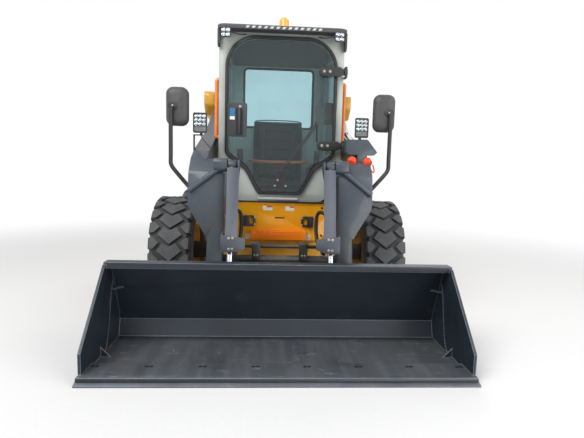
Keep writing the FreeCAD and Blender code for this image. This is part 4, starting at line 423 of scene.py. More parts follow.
def bars():
    """A slender bar on every point, laid along the point's facing."""
    g = Growth("bar_row", bar_width=0.003, bar_length=0.5, bar_depth=0.003)
    size = g.node("ShaderNodeCombineXYZ", None, {
        "X": g.size("Bar length"), "Y": g.size("Bar depth"), "Z": g.size("Bar width")})
    bar = g.node("GeometryNodeMeshCube", None, {"Size": size}, "Mesh")
    facing = {"Vector": g.named("facing", "FLOAT_VECTOR")}
    turn = g.node("FunctionNodeAlignRotationToVector", {"axis": "X"}, facing)
    laid = {"Points": g.source, "Instance": bar, "Rotation": turn}
    return g.close(g.node("GeometryNodeInstanceOnPoints", None, laid))


# Shader building blocks

class Wire:
    """A shader socket on which plain arithmetic adds Math nodes."""

    def __init__(self, shader, socket):
        self.shader = shader
        self.socket = socket

    def maths(self, operation, *values):
        return self.shader.node("ShaderNodeMath", {"operation": operation}, dict(enumerate(values)))

    def __add__(self, other):
        return self.maths("ADD", self, other)

    def __sub__(self, other):
        return self.maths("SUBTRACT", self, other)

    def __rsub__(self, other):
        return self.maths("SUBTRACT", other, self)

    def __mul__(self, other):
        return self.maths("MULTIPLY", self, other)

    def __truediv__(self, other):
        return self.maths("DIVIDE", self, other)

    def __pow__(self, other):
        return self.maths("POWER", self, other)

    def __abs__(self):
        return self.maths("ABSOLUTE", self)

    __radd__ = __add__
    __rmul__ = __mul__

    def wave(self):
        return self.maths("SINE", self)

    def most(self, other):
        return self.maths("MAXIMUM", self, other)

    def least(self, other):
        return self.maths("MINIMUM", self, other)

    def ramp(self, low, high):
        """A smooth step from 0 at low to 1 at high."""
        kind = {"interpolation_type": "SMOOTHSTEP"}
        return self.shader.node("ShaderNodeMapRange", kind, {"Value": self, "From Min": low, "From Max": high})


class Tree:
    """The node tree of one material or world."""

    def __init__(self, owner):
        self.owner = owner
        owner.use_nodes = True
        self.tree = owner.node_tree
        self.tree.nodes.clear()

    def node(self, kind, settings=None, inputs=None, output=0):
        """Add a node, with its settings first and then the values or links of its sockets."""
        node = self.tree.nodes.new(kind)
        for name, value in (settings or {}).items():
            setattr(node, name, value)
        for name, value in (inputs or {}).items():
            socket = node.inputs[name]
            if isinstance(value, Wire):
                self.tree.links.new(value.socket, socket)
            else:
                socket.default_value = value
        return Wire(self, node.outputs[output])

    def output(self, shell, kind="ShaderNodeOutputMaterial"):
        """Lead a shader to the output and give back the material or world."""
        end = self.tree.nodes.new(kind)
        self.tree.links.new(shell.socket, end.inputs["Surface"])
        return self.owner


class Shader(Tree):
    """One material's node tree, with the patterns that the finishes share."""

    def __init__(self, name):
        super().__init__(bpy.data.materials.new(name))
        self.point = self.node("ShaderNodeTexCoord", output="Object")
        split = self.node("ShaderNodeSeparateXYZ", inputs={"Vector": self.point}).socket.node
        self.x, self.y, self.z = (Wire(self, socket) for socket in split.outputs)
        normal = self.node("ShaderNodeTexCoord", output="Normal")
        facing = self.node("ShaderNodeSeparateXYZ", inputs={"Vector": normal}).socket.node
        self.up = Wire(self, facing.outputs["Z"]).most(0.0)

    def noise(self, scale, detail=4.0, stretch=(1.0, 1.0, 1.0), rough=0.55):
        """Cloudy noise about 0.5, pulled out along an axis where stretch is below 1."""
        point = self.node("ShaderNodeMapping", inputs={"Vector": self.point, "Scale": stretch})
        return self.node("ShaderNodeTexNoise", inputs={
            "Vector": point, "Scale": scale, "Detail": detail, "Roughness": rough})

    def blend(self, first, second, mask):
        """Two colours mixed by a mask."""
        mix = self.node("ShaderNodeMix", {"data_type": "RGBA"}).socket.node
        for name, value in (("Factor_Float", mask), ("A_Color", first), ("B_Color", second)):
            socket = [item for item in mix.inputs if item.identifier == name][0]
            if isinstance(value, Wire):
                self.tree.links.new(value.socket, socket)
            else:
                socket.default_value = value
        return Wire(self, [item for item in mix.outputs if item.identifier == "Result_Color"][0])

    def bump(self, height, strength, depth):
        return self.node("ShaderNodeBump", inputs={"Height": height, "Strength": strength, "Distance": depth})

    def surface(self, **sockets):
        """Finish with one Principled BSDF; words in socket names are joined by underscores."""
        names = {key.replace("_", " ").title(): value for key, value in sockets.items()}
        return self.output(self.node("ShaderNodeBsdfPrincipled", inputs=names))


def linear(colour, gain=1.0):
    """A scene-linear RGBA from a display colour."""
    plain = [((c + 0.055) / 1.055) ** 2.4 if c > 0.04045 else c / 12.92 for c in colour]
    return tuple(min(1.0, gain * part) for part in plain) + (1.0,)


# What a user would change

def display(label, text, colour):
    """A display colour that a user can change."""
    return FloatVectorProperty(
        name=label, description=text, subtype="COLOR_GAMMA", size=3, min=0, max=1, default=colour)


class LoaderColours(bpy.types.PropertyGroup):
    """Paint and plastic colours."""
    frame_yellow: display("Frame", "Towers and lower frame", (0.86, 0.62, 0.16))
    panel_yellow: display("Front panel", "Panel below the door", (0.99, 0.67, 0.03))
    signal_orange: display("Step", "Step across the front", (1.0, 0.50, 0.0))
    rail_orange: display("Grab rails", "Rails beside the door", (0.93, 0.49, 0.15))
    arm_slate: display("Boom arms", "Arms and coupler brackets", (0.205, 0.243, 0.278))
    guard_violet: display("Tilt guards", "Plates over the tilt cylinders", (0.275, 0.30, 0.345))
    bucket_steel: display("Bucket", "Painted bucket plate", (0.115, 0.145, 0.180))
    edge_steel: display("Cutting edge", "Worn edge and top rail", (0.34, 0.375, 0.41))
    cab_grey: display("Cab frame", "Pillars and shell", (0.66, 0.68, 0.655))
    roof_charcoal: display("Roof", "Visor and roof cap", (0.25, 0.25, 0.26))
    black_steel: display("Black steel", "Hinges, axles and brackets", (0.11, 0.115, 0.12))
    cab_plastic: display("Cab plastic", "Consoles, levers and housings", (0.19, 0.19, 0.20))
    seat_vinyl: display("Seat", "Seat cover", (0.10, 0.10, 0.105))
    tyre_rubber: display("Tyres", "Rubber", (0.305, 0.31, 0.315))
    rim_paint: display("Rims", "Painted wheel discs", (0.87, 0.64, 0.20))
    hub_iron: display("Hubs", "Cast wheel hubs", (0.20, 0.205, 0.21))
    beacon_amber: display("Beacon", "Amber dome", (0.95, 0.62, 0.18))
    lamp_red: display("Tail lamps", "Red lenses", (0.60, 0.06, 0.05))
    rod_chrome: display("Rods", "Plated cylinder rods", (0.78, 0.79, 0.80))
    glass_tint: display("Glass", "Tint of the panes", (0.90, 0.952, 0.96))
    floor_pale: display("Floor", "Studio floor", (0.86, 0.86, 0.86))


class LoaderFinish(bpy.types.PropertyGroup):
    """How worn and how soft-edged the loader is."""
    edge_round: FloatProperty(name="Edge rounding", description="Width of the rounding on plate edges",
                              default=0.0025, unit="LENGTH")
    dust: FloatProperty(name="Dust", description="Dust on upper faces and low down", default=0.5, min=0, max=1,
                        subtype="FACTOR")
    wear: FloatProperty(name="Edge wear", description="Share of the edges rubbed down to bare steel", default=0.4,
                        min=0, max=1, subtype="FACTOR")


class LoaderFittings(bpy.types.PropertyGroup):
    """Small parts that the scene adds to the solids."""
    bolt_scale: FloatProperty(name="Bolt scale", description="Size of the bolt heads against the drawing's",
                              default=1.0, min=0.5, max=2, subtype="FACTOR")
    seat_puff: FloatProperty(name="Seat puff", description="Most that a point of the seat's cloth may move",
                             default=0.010, unit="LENGTH")


class LoaderStudio(bpy.types.PropertyGroup):
    """Floor, lights and camera."""
    floor_radius: FloatProperty(name="Floor radius", description="Radius of the round floor", default=14.0,
                                unit="LENGTH")
    key_power: FloatProperty(name="Key light", description="Power of the large soft light", default=420.0,
                             unit="POWER")
    sky: FloatProperty(name="Sky", description="Strength of the even light from all round", default=0.52)
    lens: FloatProperty(name="Lens", description="Focal length", default=27.86, unit="CAMERA")


# Finishes

STEEL = (0.50, 0.50, 0.49)
DUST = (0.56, 0.53, 0.49)
AXLE_MIDDLE = (AXLES[0][1] + AXLES[1][1]) / 2000
AXLE_REACH = (AXLES[0][1] - AXLES[1][1]) / 2000
# Distances from the wheel's axle, in metres, between which painted shade darkens the grooves and pales again
GROOVE_SHADE_START = (0.366, 0.384)
GROOVE_SHADE_END = (0.393, 0.409)
# The bucket's floor: rubbed below these heights and in front of these depths, in metres
FLOOR_LEVELS = (0.015, 0.14)
FLOOR_DEPTHS = (-1.20, -1.10)


def painted(name, colour, rough=0.45, metallic=0.0, coat=0.0, dusty=1.0, peel=0.06, scuff=0.3, worn=0.0):
    """Sprayed paint with clouding, run-down streaks, fine scratches, settled dust and, where worn, bare steel."""
    look = bpy.context.scene.loader_finish
    s = Shader(name)
    cloud = s.noise(2.3, 5)
    fine = s.noise(38, 3)
    streak = s.noise(9, 5, stretch=(1.0, 1.0, 0.12)).ramp(0.52, 0.74)
    scratch = s.noise(120, 2, stretch=(1.0, 0.06, 0.5)).ramp(0.66, 0.72) * s.noise(5, 2).ramp(0.50, 0.66)
    low = 1 - s.z.ramp(0.10, 1.10)
    settled = (s.up ** 3) * 0.55 + low * 0.38 + streak * 0.16
    dust = (settled * s.noise(6, 8, rough=0.7).ramp(0.30, 0.72) * (look.dust * dusty)).least(0.85)
    base = s.blend(linear(colour, 0.84), linear(colour, 1.12), cloud.ramp(0.32, 0.68))
    base = s.blend(base, linear(colour, 0.70), fine.ramp(0.62, 0.80) * 0.35)
    base = s.blend(base, linear(STEEL), scratch * (scuff * 0.55))
    bare = s.noise(16, 6, rough=0.75).ramp(0.60 - 0.16 * look.wear, 0.68) * worn
    base = s.blend(base, linear(STEEL), bare)
    base = s.blend(base, linear(DUST), dust)
    height = fine * peel + s.noise(420, 2) * (peel * 0.5) - bare * 0.6
    return s.surface(
        base_color=base, metallic=bare * (0.75 - metallic) + metallic,
        roughness=(dust * 0.45 + cloud * 0.10 + scratch * 0.12 + (rough - 0.05)).least(0.95),
        coat_weight=coat, normal=s.bump(height, 0.35, 0.0012))


def bare_metal(name, colour, rough=0.25, turned=0.0):
    """Plated or worn metal with fine rings or brushing."""
    s = Shader(name)
    brush = s.noise(260, 2, stretch=(0.25, 1.0, 1.0))
    grime = s.noise(7, 6).ramp(0.52, 0.76)
    base = s.blend(linear(colour), linear(colour, 0.55), grime * 0.6)
    return s.surface(base_color=base, metallic=1.0, roughness=grime * 0.25 + brush * 0.10 + rough,
                     normal=s.bump(brush, 0.10 + turned, 0.0006))


def scoured(name, colour, floor_colour):
    """Bucket plate: thin dark paint, rubbed through to dusty steel on the floor and where soil slides."""
    s = Shader(name)
    cloud = s.noise(2.0, 6, rough=0.65)
    slide = s.noise(15, 4, stretch=(1.0, 0.10, 0.25))
    inside = (1 - s.z.ramp(*FLOOR_LEVELS)) * (1 - s.y.ramp(*FLOOR_DEPTHS)) * s.up.ramp(0.3, 0.7)
    rubbed = (inside * (cloud.ramp(0.18, 0.52) * 0.75 + slide.ramp(0.42, 0.66) * 0.35)).least(1.0)
    smear = s.noise(4.5, 7, rough=0.7).ramp(0.55, 0.80) * (1 - s.z.ramp(0.08, 0.62)) * 0.35
    fine = s.noise(60, 4)
    nick = s.noise(95, 2, stretch=(0.3, 1.0, 1.0)).ramp(0.68, 0.74) * 0.5
    scratch = abs(s.noise(7, 3, stretch=(0.35, 1.6, 1.0)) - 0.5).ramp(0.0, 0.012)
    scratch = (1 - scratch) * inside * s.noise(9, 4).ramp(0.46, 0.60) * 0.6
    base = s.blend(linear(colour, 0.80), linear(colour, 1.25), cloud.ramp(0.30, 0.72))
    base = s.blend(base, linear(floor_colour), rubbed)
    base = s.blend(base, linear(STEEL, 0.55), smear)
    base = s.blend(base, linear(STEEL, 0.8), nick * (rubbed * 0.6 + 0.15))
    base = s.blend(base, linear(STEEL, 1.1), scratch)
    return s.surface(base_color=base, metallic=rubbed * 0.25 + 0.08,
                     roughness=cloud * 0.16 + rubbed * 0.14 + smear * 0.3 + 0.36,
                     normal=s.bump(fine * 0.5 + slide * rubbed * 0.8 + nick * 0.6, 0.35, 0.0014))


def moulded(name, colour, rough=0.55, grain=700, dusty=0.6):
    """Moulded plastic with a fine leather grain."""
    look = bpy.context.scene.loader_finish
    s = Shader(name)
    cells = s.node("ShaderNodeTexVoronoi", inputs={"Vector": s.point, "Scale": grain}, output="Distance")
    cloud = s.noise(5, 5)
    dust = (s.up ** 2) * cloud.ramp(0.35, 0.75) * (look.dust * dusty * 0.55)
    base = s.blend(linear(colour, 0.85), linear(colour, 1.20), cloud)
    base = s.blend(base, linear(DUST), dust)
    return s.surface(base_color=base, roughness=cloud * 0.14 + dust * 0.3 + (rough - 0.05),
                     normal=s.bump(cells + cloud * 0.3, 0.22, 0.0006))


def rubber(name, colour):
    """Tyre rubber with painted shade darkening the grooves between the lugs, and with dust on the lugs."""
    s = Shader(name)
    # Painted shade: a band round each axle, where the grooves lie, is darkened as though shade fell in them
    from_axle = abs(s.y - AXLE_MIDDLE) - AXLE_REACH
    reach = (from_axle * from_axle + (s.z - AXLE_LEVEL / 1000) ** 2) ** 0.5
    groove = reach.ramp(*GROOVE_SHADE_START) * (1 - reach.ramp(*GROOVE_SHADE_END))
    cloud = s.noise(7, 6, rough=0.65)
    fine = s.noise(90, 4, rough=0.7)
    base = s.blend(linear(colour, 0.78), linear(colour, 1.18), cloud.ramp(0.30, 0.70))
    base = s.blend(base, linear(DUST, 0.72), s.noise(22, 8, rough=0.75).ramp(0.50, 0.78) * 0.42)
    base = s.blend(base, linear(colour, 0.42), groove * 0.85)
    return s.surface(base_color=base, roughness=cloud * 0.12 + 0.76,
                     normal=s.bump(fine + cloud * 0.6, 0.30, 0.0018))


def vinyl(name, colour):
    """Seat cover: pebbled vinyl with soft creases."""
    s = Shader(name)
    pebble = s.node("ShaderNodeTexVoronoi", inputs={"Vector": s.point, "Scale": 420}, output="Distance")
    crease = s.noise(11, 4, stretch=(1.0, 0.5, 0.5))
    base = s.blend(linear(colour, 0.80), linear(colour, 1.35), s.noise(4, 4))
    return s.surface(base_color=base, roughness=crease * 0.16 + 0.42,
                     normal=s.bump(pebble * 0.4 + crease * 1.4, 0.22, 0.0006))


def glazing(name, tint, haze=0.05):
    """A tinted pane: see-through with a Fresnel gloss and a little wiped dust."""
    s = Shader(name)
    clear = s.node("ShaderNodeBsdfTransparent", inputs={"Color": linear(tint)})
    gloss = s.node("ShaderNodeBsdfGlossy", inputs={"Color": (0.95, 0.98, 1.0, 1.0), "Roughness": 0.03})
    film = s.node("ShaderNodeBsdfDiffuse", inputs={"Color": linear(DUST)})
    fresnel = s.node("ShaderNodeFresnel", inputs={"IOR": 1.5})
    pane = s.node("ShaderNodeMixShader", inputs={0: fresnel * 0.75, 1: clear, 2: gloss})
    wiped = s.noise(2.2, 6, rough=0.7).ramp(0.40, 0.80) * haze + 0.005
    return s.output(s.node("ShaderNodeMixShader", inputs={0: wiped, 1: pane, 2: film}))


def lens(name, colour, pitch=0.014, glow=0.25):
    """A lamp glass with a grid of small bright cups behind it."""
    s = Shader(name)
    across = abs((s.x * (math.pi / pitch)).wave())
    up = abs((s.z * (math.pi / pitch)).wave())
    cup = (across * up).ramp(0.10, 0.85)
    base = s.blend(linear(colour, 0.35), linear(colour, 1.1), cup)
    return s.surface(base_color=base, roughness=0.12, metallic=cup * 0.4, coat_weight=0.8,
                     emission_color=s.blend((0, 0, 0, 1), linear(colour, 1.0), cup), emission_strength=glow,
                     normal=s.bump(cup, 0.5, 0.002))


def amber_dome(name, colour):
    """Ribbed amber plastic that glows a little where light comes through."""
    s = Shader(name)
    rib = abs((s.z * (math.pi / 0.006)).wave())
    base = s.blend(linear(colour, 0.75), linear(colour, 1.1), rib)
    return s.surface(base_color=base, roughness=0.18, coat_weight=0.6, emission_color=linear(colour),
                     emission_strength=0.18, normal=s.bump(rib, 0.4, 0.0012))


def make_finishes():
    """Every finish by the name of its material slot."""
    c = bpy.context.scene.loader_colours
    made = {
        "frame_yellow": painted("frame_yellow_paint", c.frame_yellow, 0.42, coat=0.25),
        "panel_yellow": painted("panel_yellow_paint", c.panel_yellow, 0.40, coat=0.30, dusty=0.15),
        "signal_orange": painted("step_orange_paint", c.signal_orange, 0.42, coat=0.2, dusty=0.0, scuff=0.1),
        "rail_orange": painted("rail_orange_paint", c.rail_orange, 0.38, coat=0.3, dusty=0.4),
        "arm_slate": painted("arm_slate_paint", c.arm_slate, 0.46, coat=0.15, dusty=0.8),
        "guard_violet": painted("guard_violet_paint", c.guard_violet, 0.46, coat=0.1, dusty=0.7),
        "cab_grey": painted("cab_grey_paint", c.cab_grey, 0.42, coat=0.2, dusty=0.5),
        "roof_charcoal": moulded("roof_charcoal_plastic", c.roof_charcoal, 0.58),
        "black_steel": painted("black_steel_paint", c.black_steel, 0.48, dusty=1.1),
        "engine_iron": painted("engine_iron_paint", c.hub_iron, 0.6, 0.3),
        "hub_iron": painted("hub_iron_paint", c.hub_iron, 0.55, 0.4, dusty=1.2),
        "rim_paint": painted("rim_yellow_paint", c.rim_paint, 0.45, dusty=1.4),
        "bucket_steel": scoured("bucket_plate", c.bucket_steel, (0.345, 0.355, 0.37)),
        # Painted shade: near-black for the shade inside the sockets of the cutting edge's bolts
        "bolt_socket": painted("bolt_socket_soot", (0.045, 0.045, 0.05), 0.8, coat=0.0, dusty=0.0),
        "edge_steel": painted("edge_steel_paint", c.edge_steel, 0.42, 0.35, dusty=0.5, scuff=1.0),
        "cab_plastic": moulded("cab_plastic_grain", c.cab_plastic),
        "mirror_shell": moulded("mirror_shell_grain", (0.235, 0.232, 0.236), 0.5, dusty=0.3),
        "seat_vinyl": vinyl("seat_vinyl_cover", c.seat_vinyl),
        "tyre_rubber": rubber("tyre_rubber_black", c.tyre_rubber),
        "rod_chrome": bare_metal("rod_chrome_plate", c.rod_chrome, 0.10),
        "tinted_glass": glazing("pane_tinted", c.glass_tint),
        "lamp_glass": lens("lamp_glass_grid", (0.93, 0.95, 0.95)),
        "lamp_red": lens("lamp_red_grid", c.lamp_red, 0.010, 0.05),
        "beacon_amber": amber_dome("beacon_amber_dome", c.beacon_amber),
        "zinc": bare_metal("bolt_zinc_plate", (0.66, 0.66, 0.64), 0.30),
        "worn_iron": bare_metal("bolt_worn_iron", (0.30, 0.30, 0.30), 0.45),
        "lamp_cup": bare_metal("lamp_cup_bright", (0.88, 0.90, 0.92), 0.14),
        "lamp_bar": lens("lamp_bar_ribs", (0.80, 0.84, 0.86), 0.010, 0.10),
        "clear_cover": glazing("lamp_cover_clear", (0.93, 0.95, 0.95), 0.5),
        "mirror_silver": bare_metal("mirror_silvering", (0.90, 0.92, 0.93), 0.03),
        "hose_rubber": moulded("hose_rubber_black", (0.105, 0.108, 0.112), 0.50, 500, 0.9),
        "seal_rubber": moulded("seal_rubber_black", (0.075, 0.078, 0.08), 0.60, 900, 0.5),
        "pane_edge": moulded("pane_edge_black", (0.045, 0.055, 0.06), 0.20, 60, 0.2),
        "lining": moulded("cab_lining_grey", (0.30, 0.31, 0.31), 0.80, 300, 0.0),
        "cap_orange": moulded("cap_orange_plastic", (0.88, 0.27, 0.12), 0.48, 600, 0.5),
        "label_pale": moulded("label_pale_film", (0.83, 0.83, 0.79), 0.35, 90, 0.3),
        "label_red": moulded("label_red_film", (0.78, 0.20, 0.13), 0.35, 90, 0.3),
        "label_blue": moulded("label_blue_film", (0.13, 0.42, 0.62), 0.35, 90, 0.3),
        # Painted light: pale plates stand for the light seen through the visor's slots
        "slot_pale": moulded("slot_pale_plate", (0.74, 0.76, 0.76), 0.50, 90, 0.2),
        "sill_aluminium": bare_metal("sill_aluminium_brushed", (0.74, 0.75, 0.76), 0.32, 0.1),
    }
    bare = {
        "frame_yellow": painted("frame_yellow_edge", c.frame_yellow, 0.42, worn=1.0),
        "arm_slate": painted("arm_slate_edge", c.arm_slate, 0.44, worn=0.8),
        "bucket_steel": painted("bucket_plate_edge", c.edge_steel, 0.42, 0.3, worn=0.9),
        "edge_steel": painted("edge_steel_edge", c.edge_steel, 0.38, 0.5, worn=1.0),
        "cab_grey": painted("cab_grey_edge", c.cab_grey, 0.42, worn=0.35),
        "panel_yellow": painted("panel_yellow_edge", c.panel_yellow, 0.40, worn=0.6),
        "black_steel": painted("black_steel_edge", c.black_steel, 0.45, worn=0.6),
        "guard_violet": painted("guard_violet_edge", c.guard_violet, 0.45, worn=0.7),
    }
    return made, bare


# Nodes shown in another finish than their slot's
SHOWN_AS = {"arm_lamps": "cab_plastic", "cab_lamps": "cab_plastic", "cross_tube": "black_steel",
            "coupler_block": "arm_slate"}


class LOADER_OT_finishes(bpy.types.Operator):
    """Paint every solid of the frame and round its edges, with bare steel where the rounding is rubbed"""
    bl_idname = "loader.finishes"
    bl_label = "Finishes"

    def execute(self, context):
        made, bare = make_finishes()
        FINISHES.update(made)
        width = context.scene.loader_finish.edge_round
        for name, node in NODES.items():
            slot = SHOWN_AS.get(name, node.material_slots[0].material.name.split(".")[0])
            node.material_slots[0].material = made[slot]
            if slot in ("tinted_glass", "tyre_rubber", "seat_vinyl"):
                continue
            edge = bare.get(slot)
            if edge:
                node.data.materials.append(edge)
            self.soften(node, width, 1 if edge else -1)
        return {"FINISHED"}

    @staticmethod
    def soften(node, width, edge_slot):
        """Round the plate edges of a solid: merge its loose triangles, drop flat ones, bevel, then even out."""
        weld = node.modifiers.new("Weld", "WELD")
        weld.merge_threshold = 0.00005
        flat = node.modifiers.new("Flat faces", "DECIMATE")
        flat.decimate_type = "DISSOLVE"
        flat.angle_limit = math.radians(1.0)
        bevel = node.modifiers.new("Edges", "BEVEL")
        bevel.width = width
        bevel.segments = 2
        bevel.angle_limit = math.radians(35)
        bevel.material = edge_slot
        bevel.harden_normals = True
        for face in node.data.polygons:
            face.use_smooth = True


# Fittings

PLOUGH_BOLTS = tuple((across + shift, -1570)
                     for across in (-949, -678, -406, -135, 135, 406, 678, 949) for shift in (-11, 11))
BOLTS = (
    # piece, body, CAD node, seen from, head radius in mm, finish, spots
    ("guard_bolts", "boom", "tilt_guards", "front", 7, "zinc",
     both_sides((322, 628), (298, 629), (322, 560), (300, 561))),
    ("clamp_bolts", "boom", "cross_tube", "front", 6, "zinc", both_sides((146, 496), (165, 496))),
    ("wiper_bolts", "door", "door_fittings", "front", 6, "zinc", ((-34, 933), (46, 933), (-14, 975))),
    ("panel_bolts", "chassis", "front_panel", "front", 7, "black_steel",
     both_sides((330, 770), (330, 560), (150, 545))),
    ("loop_bolts", "chassis", "tie_down_loops", "front", 5, "zinc", both_sides((178, 640), (178, 690))),
    ("gate_bolts", "tailgate", "tailgate", "rear", 7, "zinc", both_sides((400, 520), (400, 1080), (400, 800))),
    ("bumper_bolts", "chassis", "rear_bumper", "rear", 11, "zinc",
     both_sides((430, 365), (430, 430), (350, 365), (350, 430))),
)
SIDE_BOLTS = (
    # piece, body, CAD node, head radius in mm, finish, spots seen from the loader's side
    ("tower_bolts", "chassis", "arm_towers", 9, "zinc", ring(900, 1640, 92, 6, 0.3)),
    ("side_panel_bolts", "chassis", "side_panels", 6, "black_steel",
     ((530, 1095), (530, 700), (1560, 1095), (1560, 700))),
)
WHEEL_NUTS = {"radius": 132, "count": 8, "start": 0.39}


class LOADER_OT_fasteners(bpy.types.Operator):
    """Bolt heads, wheel nuts, and black discs painted as the shade in the sockets of the cutting edge's bolts"""
    bl_idname = "loader.fasteners"
    bl_label = "Fasteners"

    def execute(self, context):
        bolt, rivet = hexagon_bolt(), round_rivet()
        for name, body, node, seen_from, radius, finish, spots in BOLTS:
            self.fix(bolt, name, node, seen_from, spots, radius, finish, body)
        for name, body, node, radius, finish, spots in SIDE_BOLTS:
            for hand, _ in SIDES:
                self.fix(bolt, f"{name}_{hand}", node, hand, spots, radius, finish, body)
        for end, along in AXLES:
            nuts = ring(along, AXLE_LEVEL, **WHEEL_NUTS)
            for hand, _ in SIDES:
                wheel = f"{end}_{hand}"
                self.fix(bolt, f"wheel_nuts_{wheel}", f"hub_{wheel}", hand, nuts, 12, "zinc", f"wheel_{wheel}")
        # Painted shade: flat near-black discs stand for the shade inside the sockets of the cutting edge's bolts
        self.fix(rivet, "edge_bolt_hole_shade", "bucket_shell", "top", PLOUGH_BOLTS, 12, "bolt_socket", "bucket", rise=0.15)
        return {"FINISHED"}

    @staticmethod
    def fix(head, name, node, seen_from, spots, radius, finish, body, **sizes):
        """A head on each spot where a straight line meets a node."""
        places = [landing(node, seen_from, spot) for spot in spots]
        radius *= bpy.context.scene.loader_fittings.bolt_scale
        head.grow(name, points_mesh(places, radius), finish, body, "edge_steel", **sizes)


LAMPS = (
    # piece, body, CAD node, middle, level, half width, half height and foot of the cups in mm, columns, rows
    ("cab_lamp", "chassis", "cab_lamps", 399, 1991, 31, 31, -31, 2, 2),
    ("arm_lamp", "boom", "arm_lamps", 550, 1353, 39, 59, -20, 3, 3),
)


class LOADER_OT_lamps(bpy.types.Operator):
    """Bright cups, light bars and clear covers in the work lamps"""
    bl_idname = "loader.lamps"
    bl_label = "Lamps"

    def execute(self, context):
        cup = lamp_cup()
        for row in LAMPS:
            for hand, side in SIDES:
                self.lamp(cup, hand, side, *row)
        return {"FINISHED"}

    @staticmethod
    def lamp(cup, hand, side, name, body, node, centre, level, half, tall, foot, columns, rows):
        """Cups in columns and rows, a bar below them where there is room, and a cover before both."""
        low, high = side * centre - half, side * centre + half
        pitch_x, pitch_z = 2 * half / columns, (tall - foot) / rows
        face = landing(node, "front", (side * centre, level))[0].y * 1000
        places = [(mm(low + pitch_x * (column + 0.5), face - 3.5, level + foot + pitch_z * (row + 0.5)), FORWARD)
                  for column in range(columns) for row in range(rows)]
        radius = min(pitch_x, pitch_z) * 0.46
        cup.grow(f"{name}_cups_{hand}", points_mesh(places, radius), "lamp_cup", body, "lamp_glass", depth=0.5)
        if foot > -tall:
            bar = ((low + 3, face - 3, level - tall + 4), (high - 3, face + 0.2, level + foot - 6))
            boxes(f"{name}_bar_{hand}", [bar], "lamp_bar", body, 0.0012)
        cover = ((low, face - 6.2, level - tall), (high, face - 4.8, level + tall))
        boxes(f"{name}_cover_{hand}", [cover], "clear_cover", body, 0.0005)


class LOADER_OT_mirrors(bpy.types.Operator):
    """Mirror poles on their feet, and shells with silvered glass and ball clamps"""
    bl_idname = "loader.mirrors"
    bl_label = "Mirrors"

    LEVEL, MIDDLE = 1456, 701
    POLE = ((736, 1474), (736, 1330), (736, 1200), (736, 1120), (738, 1068), (700, 1020), (650, 962), (606, 912))
    BOSS = ((0, -16), (20, -16), (22, -12), (22, 12), (20, 16), (0, 16))
    # how far each loop lies inside the shell's outline, and its depth
    SHELL = ((8, -674), (6, -673), (2, -673), (0, -676), (0, -692), (4, -702), (14, -714), (28, -722), (44, -726))
    CLAMP = ((0, -4), (27, -4), (27, 3), (22, 8), (15, 11), (14, 18), (10, 22), (0, 23))
    SCREW = ((0, 0), (6, 0), (6, 4), (3.5, 4.4), (3.2, 3.0), (0, 3.0))

    def execute(self, context):
        tube = path_tube()
        for hand, side in SIDES:
            route = [(side * across, -741, up) for across, up in self.POLE]
            pole = tube.grow(f"mirror_pole_{hand}", path_curve(route), "black_steel", "boom", "black_steel",
                             radius=0.0138, wave_pitch=0.024, sides=20)
            boxes(f"mirror_foot_{hand}", [((side * 597.5, -773, 889), (side * 607, -709, 953))],
                  "black_steel", "boom", 0.003, 3)
            turning(f"mirror_boss_{hand}", self.BOSS, mm(side * 736, -733, self.LEVEL), (0, 1, 0),
                    "black_steel", "boom", 0.001)
            shell = self.shell(hand, side)
            if side == 1:
                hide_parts("mirror_tubes")
                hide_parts("mirrors")
            spot, facing = landing("mirrors", "front", (side * 722, self.LEVEL))
            turning(f"mirror_clamp_{hand}", self.CLAMP, spot, facing, "cab_plastic", "boom", 0.001)
            turning(f"mirror_screw_{hand}", self.SCREW, spot + facing * 0.022, facing, "zinc", "boom",
                    sides=12)
        return {"FINISHED"}

    def shell(self, hand, side):
        """A shell with a round back and a lip, and the glass set into it."""
        middle = side * self.MIDDLE
        face = landing("mirrors", "rear", (side * 700, self.LEVEL))[0].y * 1000
        shape = bmesh.new()
        stack(shape, [corner_loop(middle, self.LEVEL, 75 - inset, 128 - inset, 48 - inset * 0.6, depth)
                      for inset, depth in ((8, face), *self.SHELL)])
        shell = fitting(f"mirror_shell_{hand}", shape, "mirror_shell", "boom", 0.0008)
        shape = bmesh.new()
        stack(shape, [corner_loop(middle, self.LEVEL, 64, 117, 38, depth) for depth in (face - 0.5, face + 3.5)])
        fitting(f"mirror_glass_{hand}", shape, "mirror_silver", "boom", 0.0012)
        return shell


PANES = (
    # piece, body, CAD node, way that the face looks, rim width and rise in mm, finish
    ("door_rim", "door", "door_glass", (0, -1, 0), 9, 0.6, "pane_edge"),
    ("door_rim_inside", "door", "door_glass", (0, 1, 0), 9, 0.6, "pane_edge"),
    ("window_seal_left", "chassis", "cab_windows", (1, 0, 0), 22, 1.5, "seal_rubber"),
    ("window_seal_right", "chassis", "cab_windows", (-1, 0, 0), 22, 1.5, "seal_rubber"),
    ("window_seal_rear", "chassis", "cab_windows", (0, 1, 0), 20, 1.5, "seal_rubber"),
)


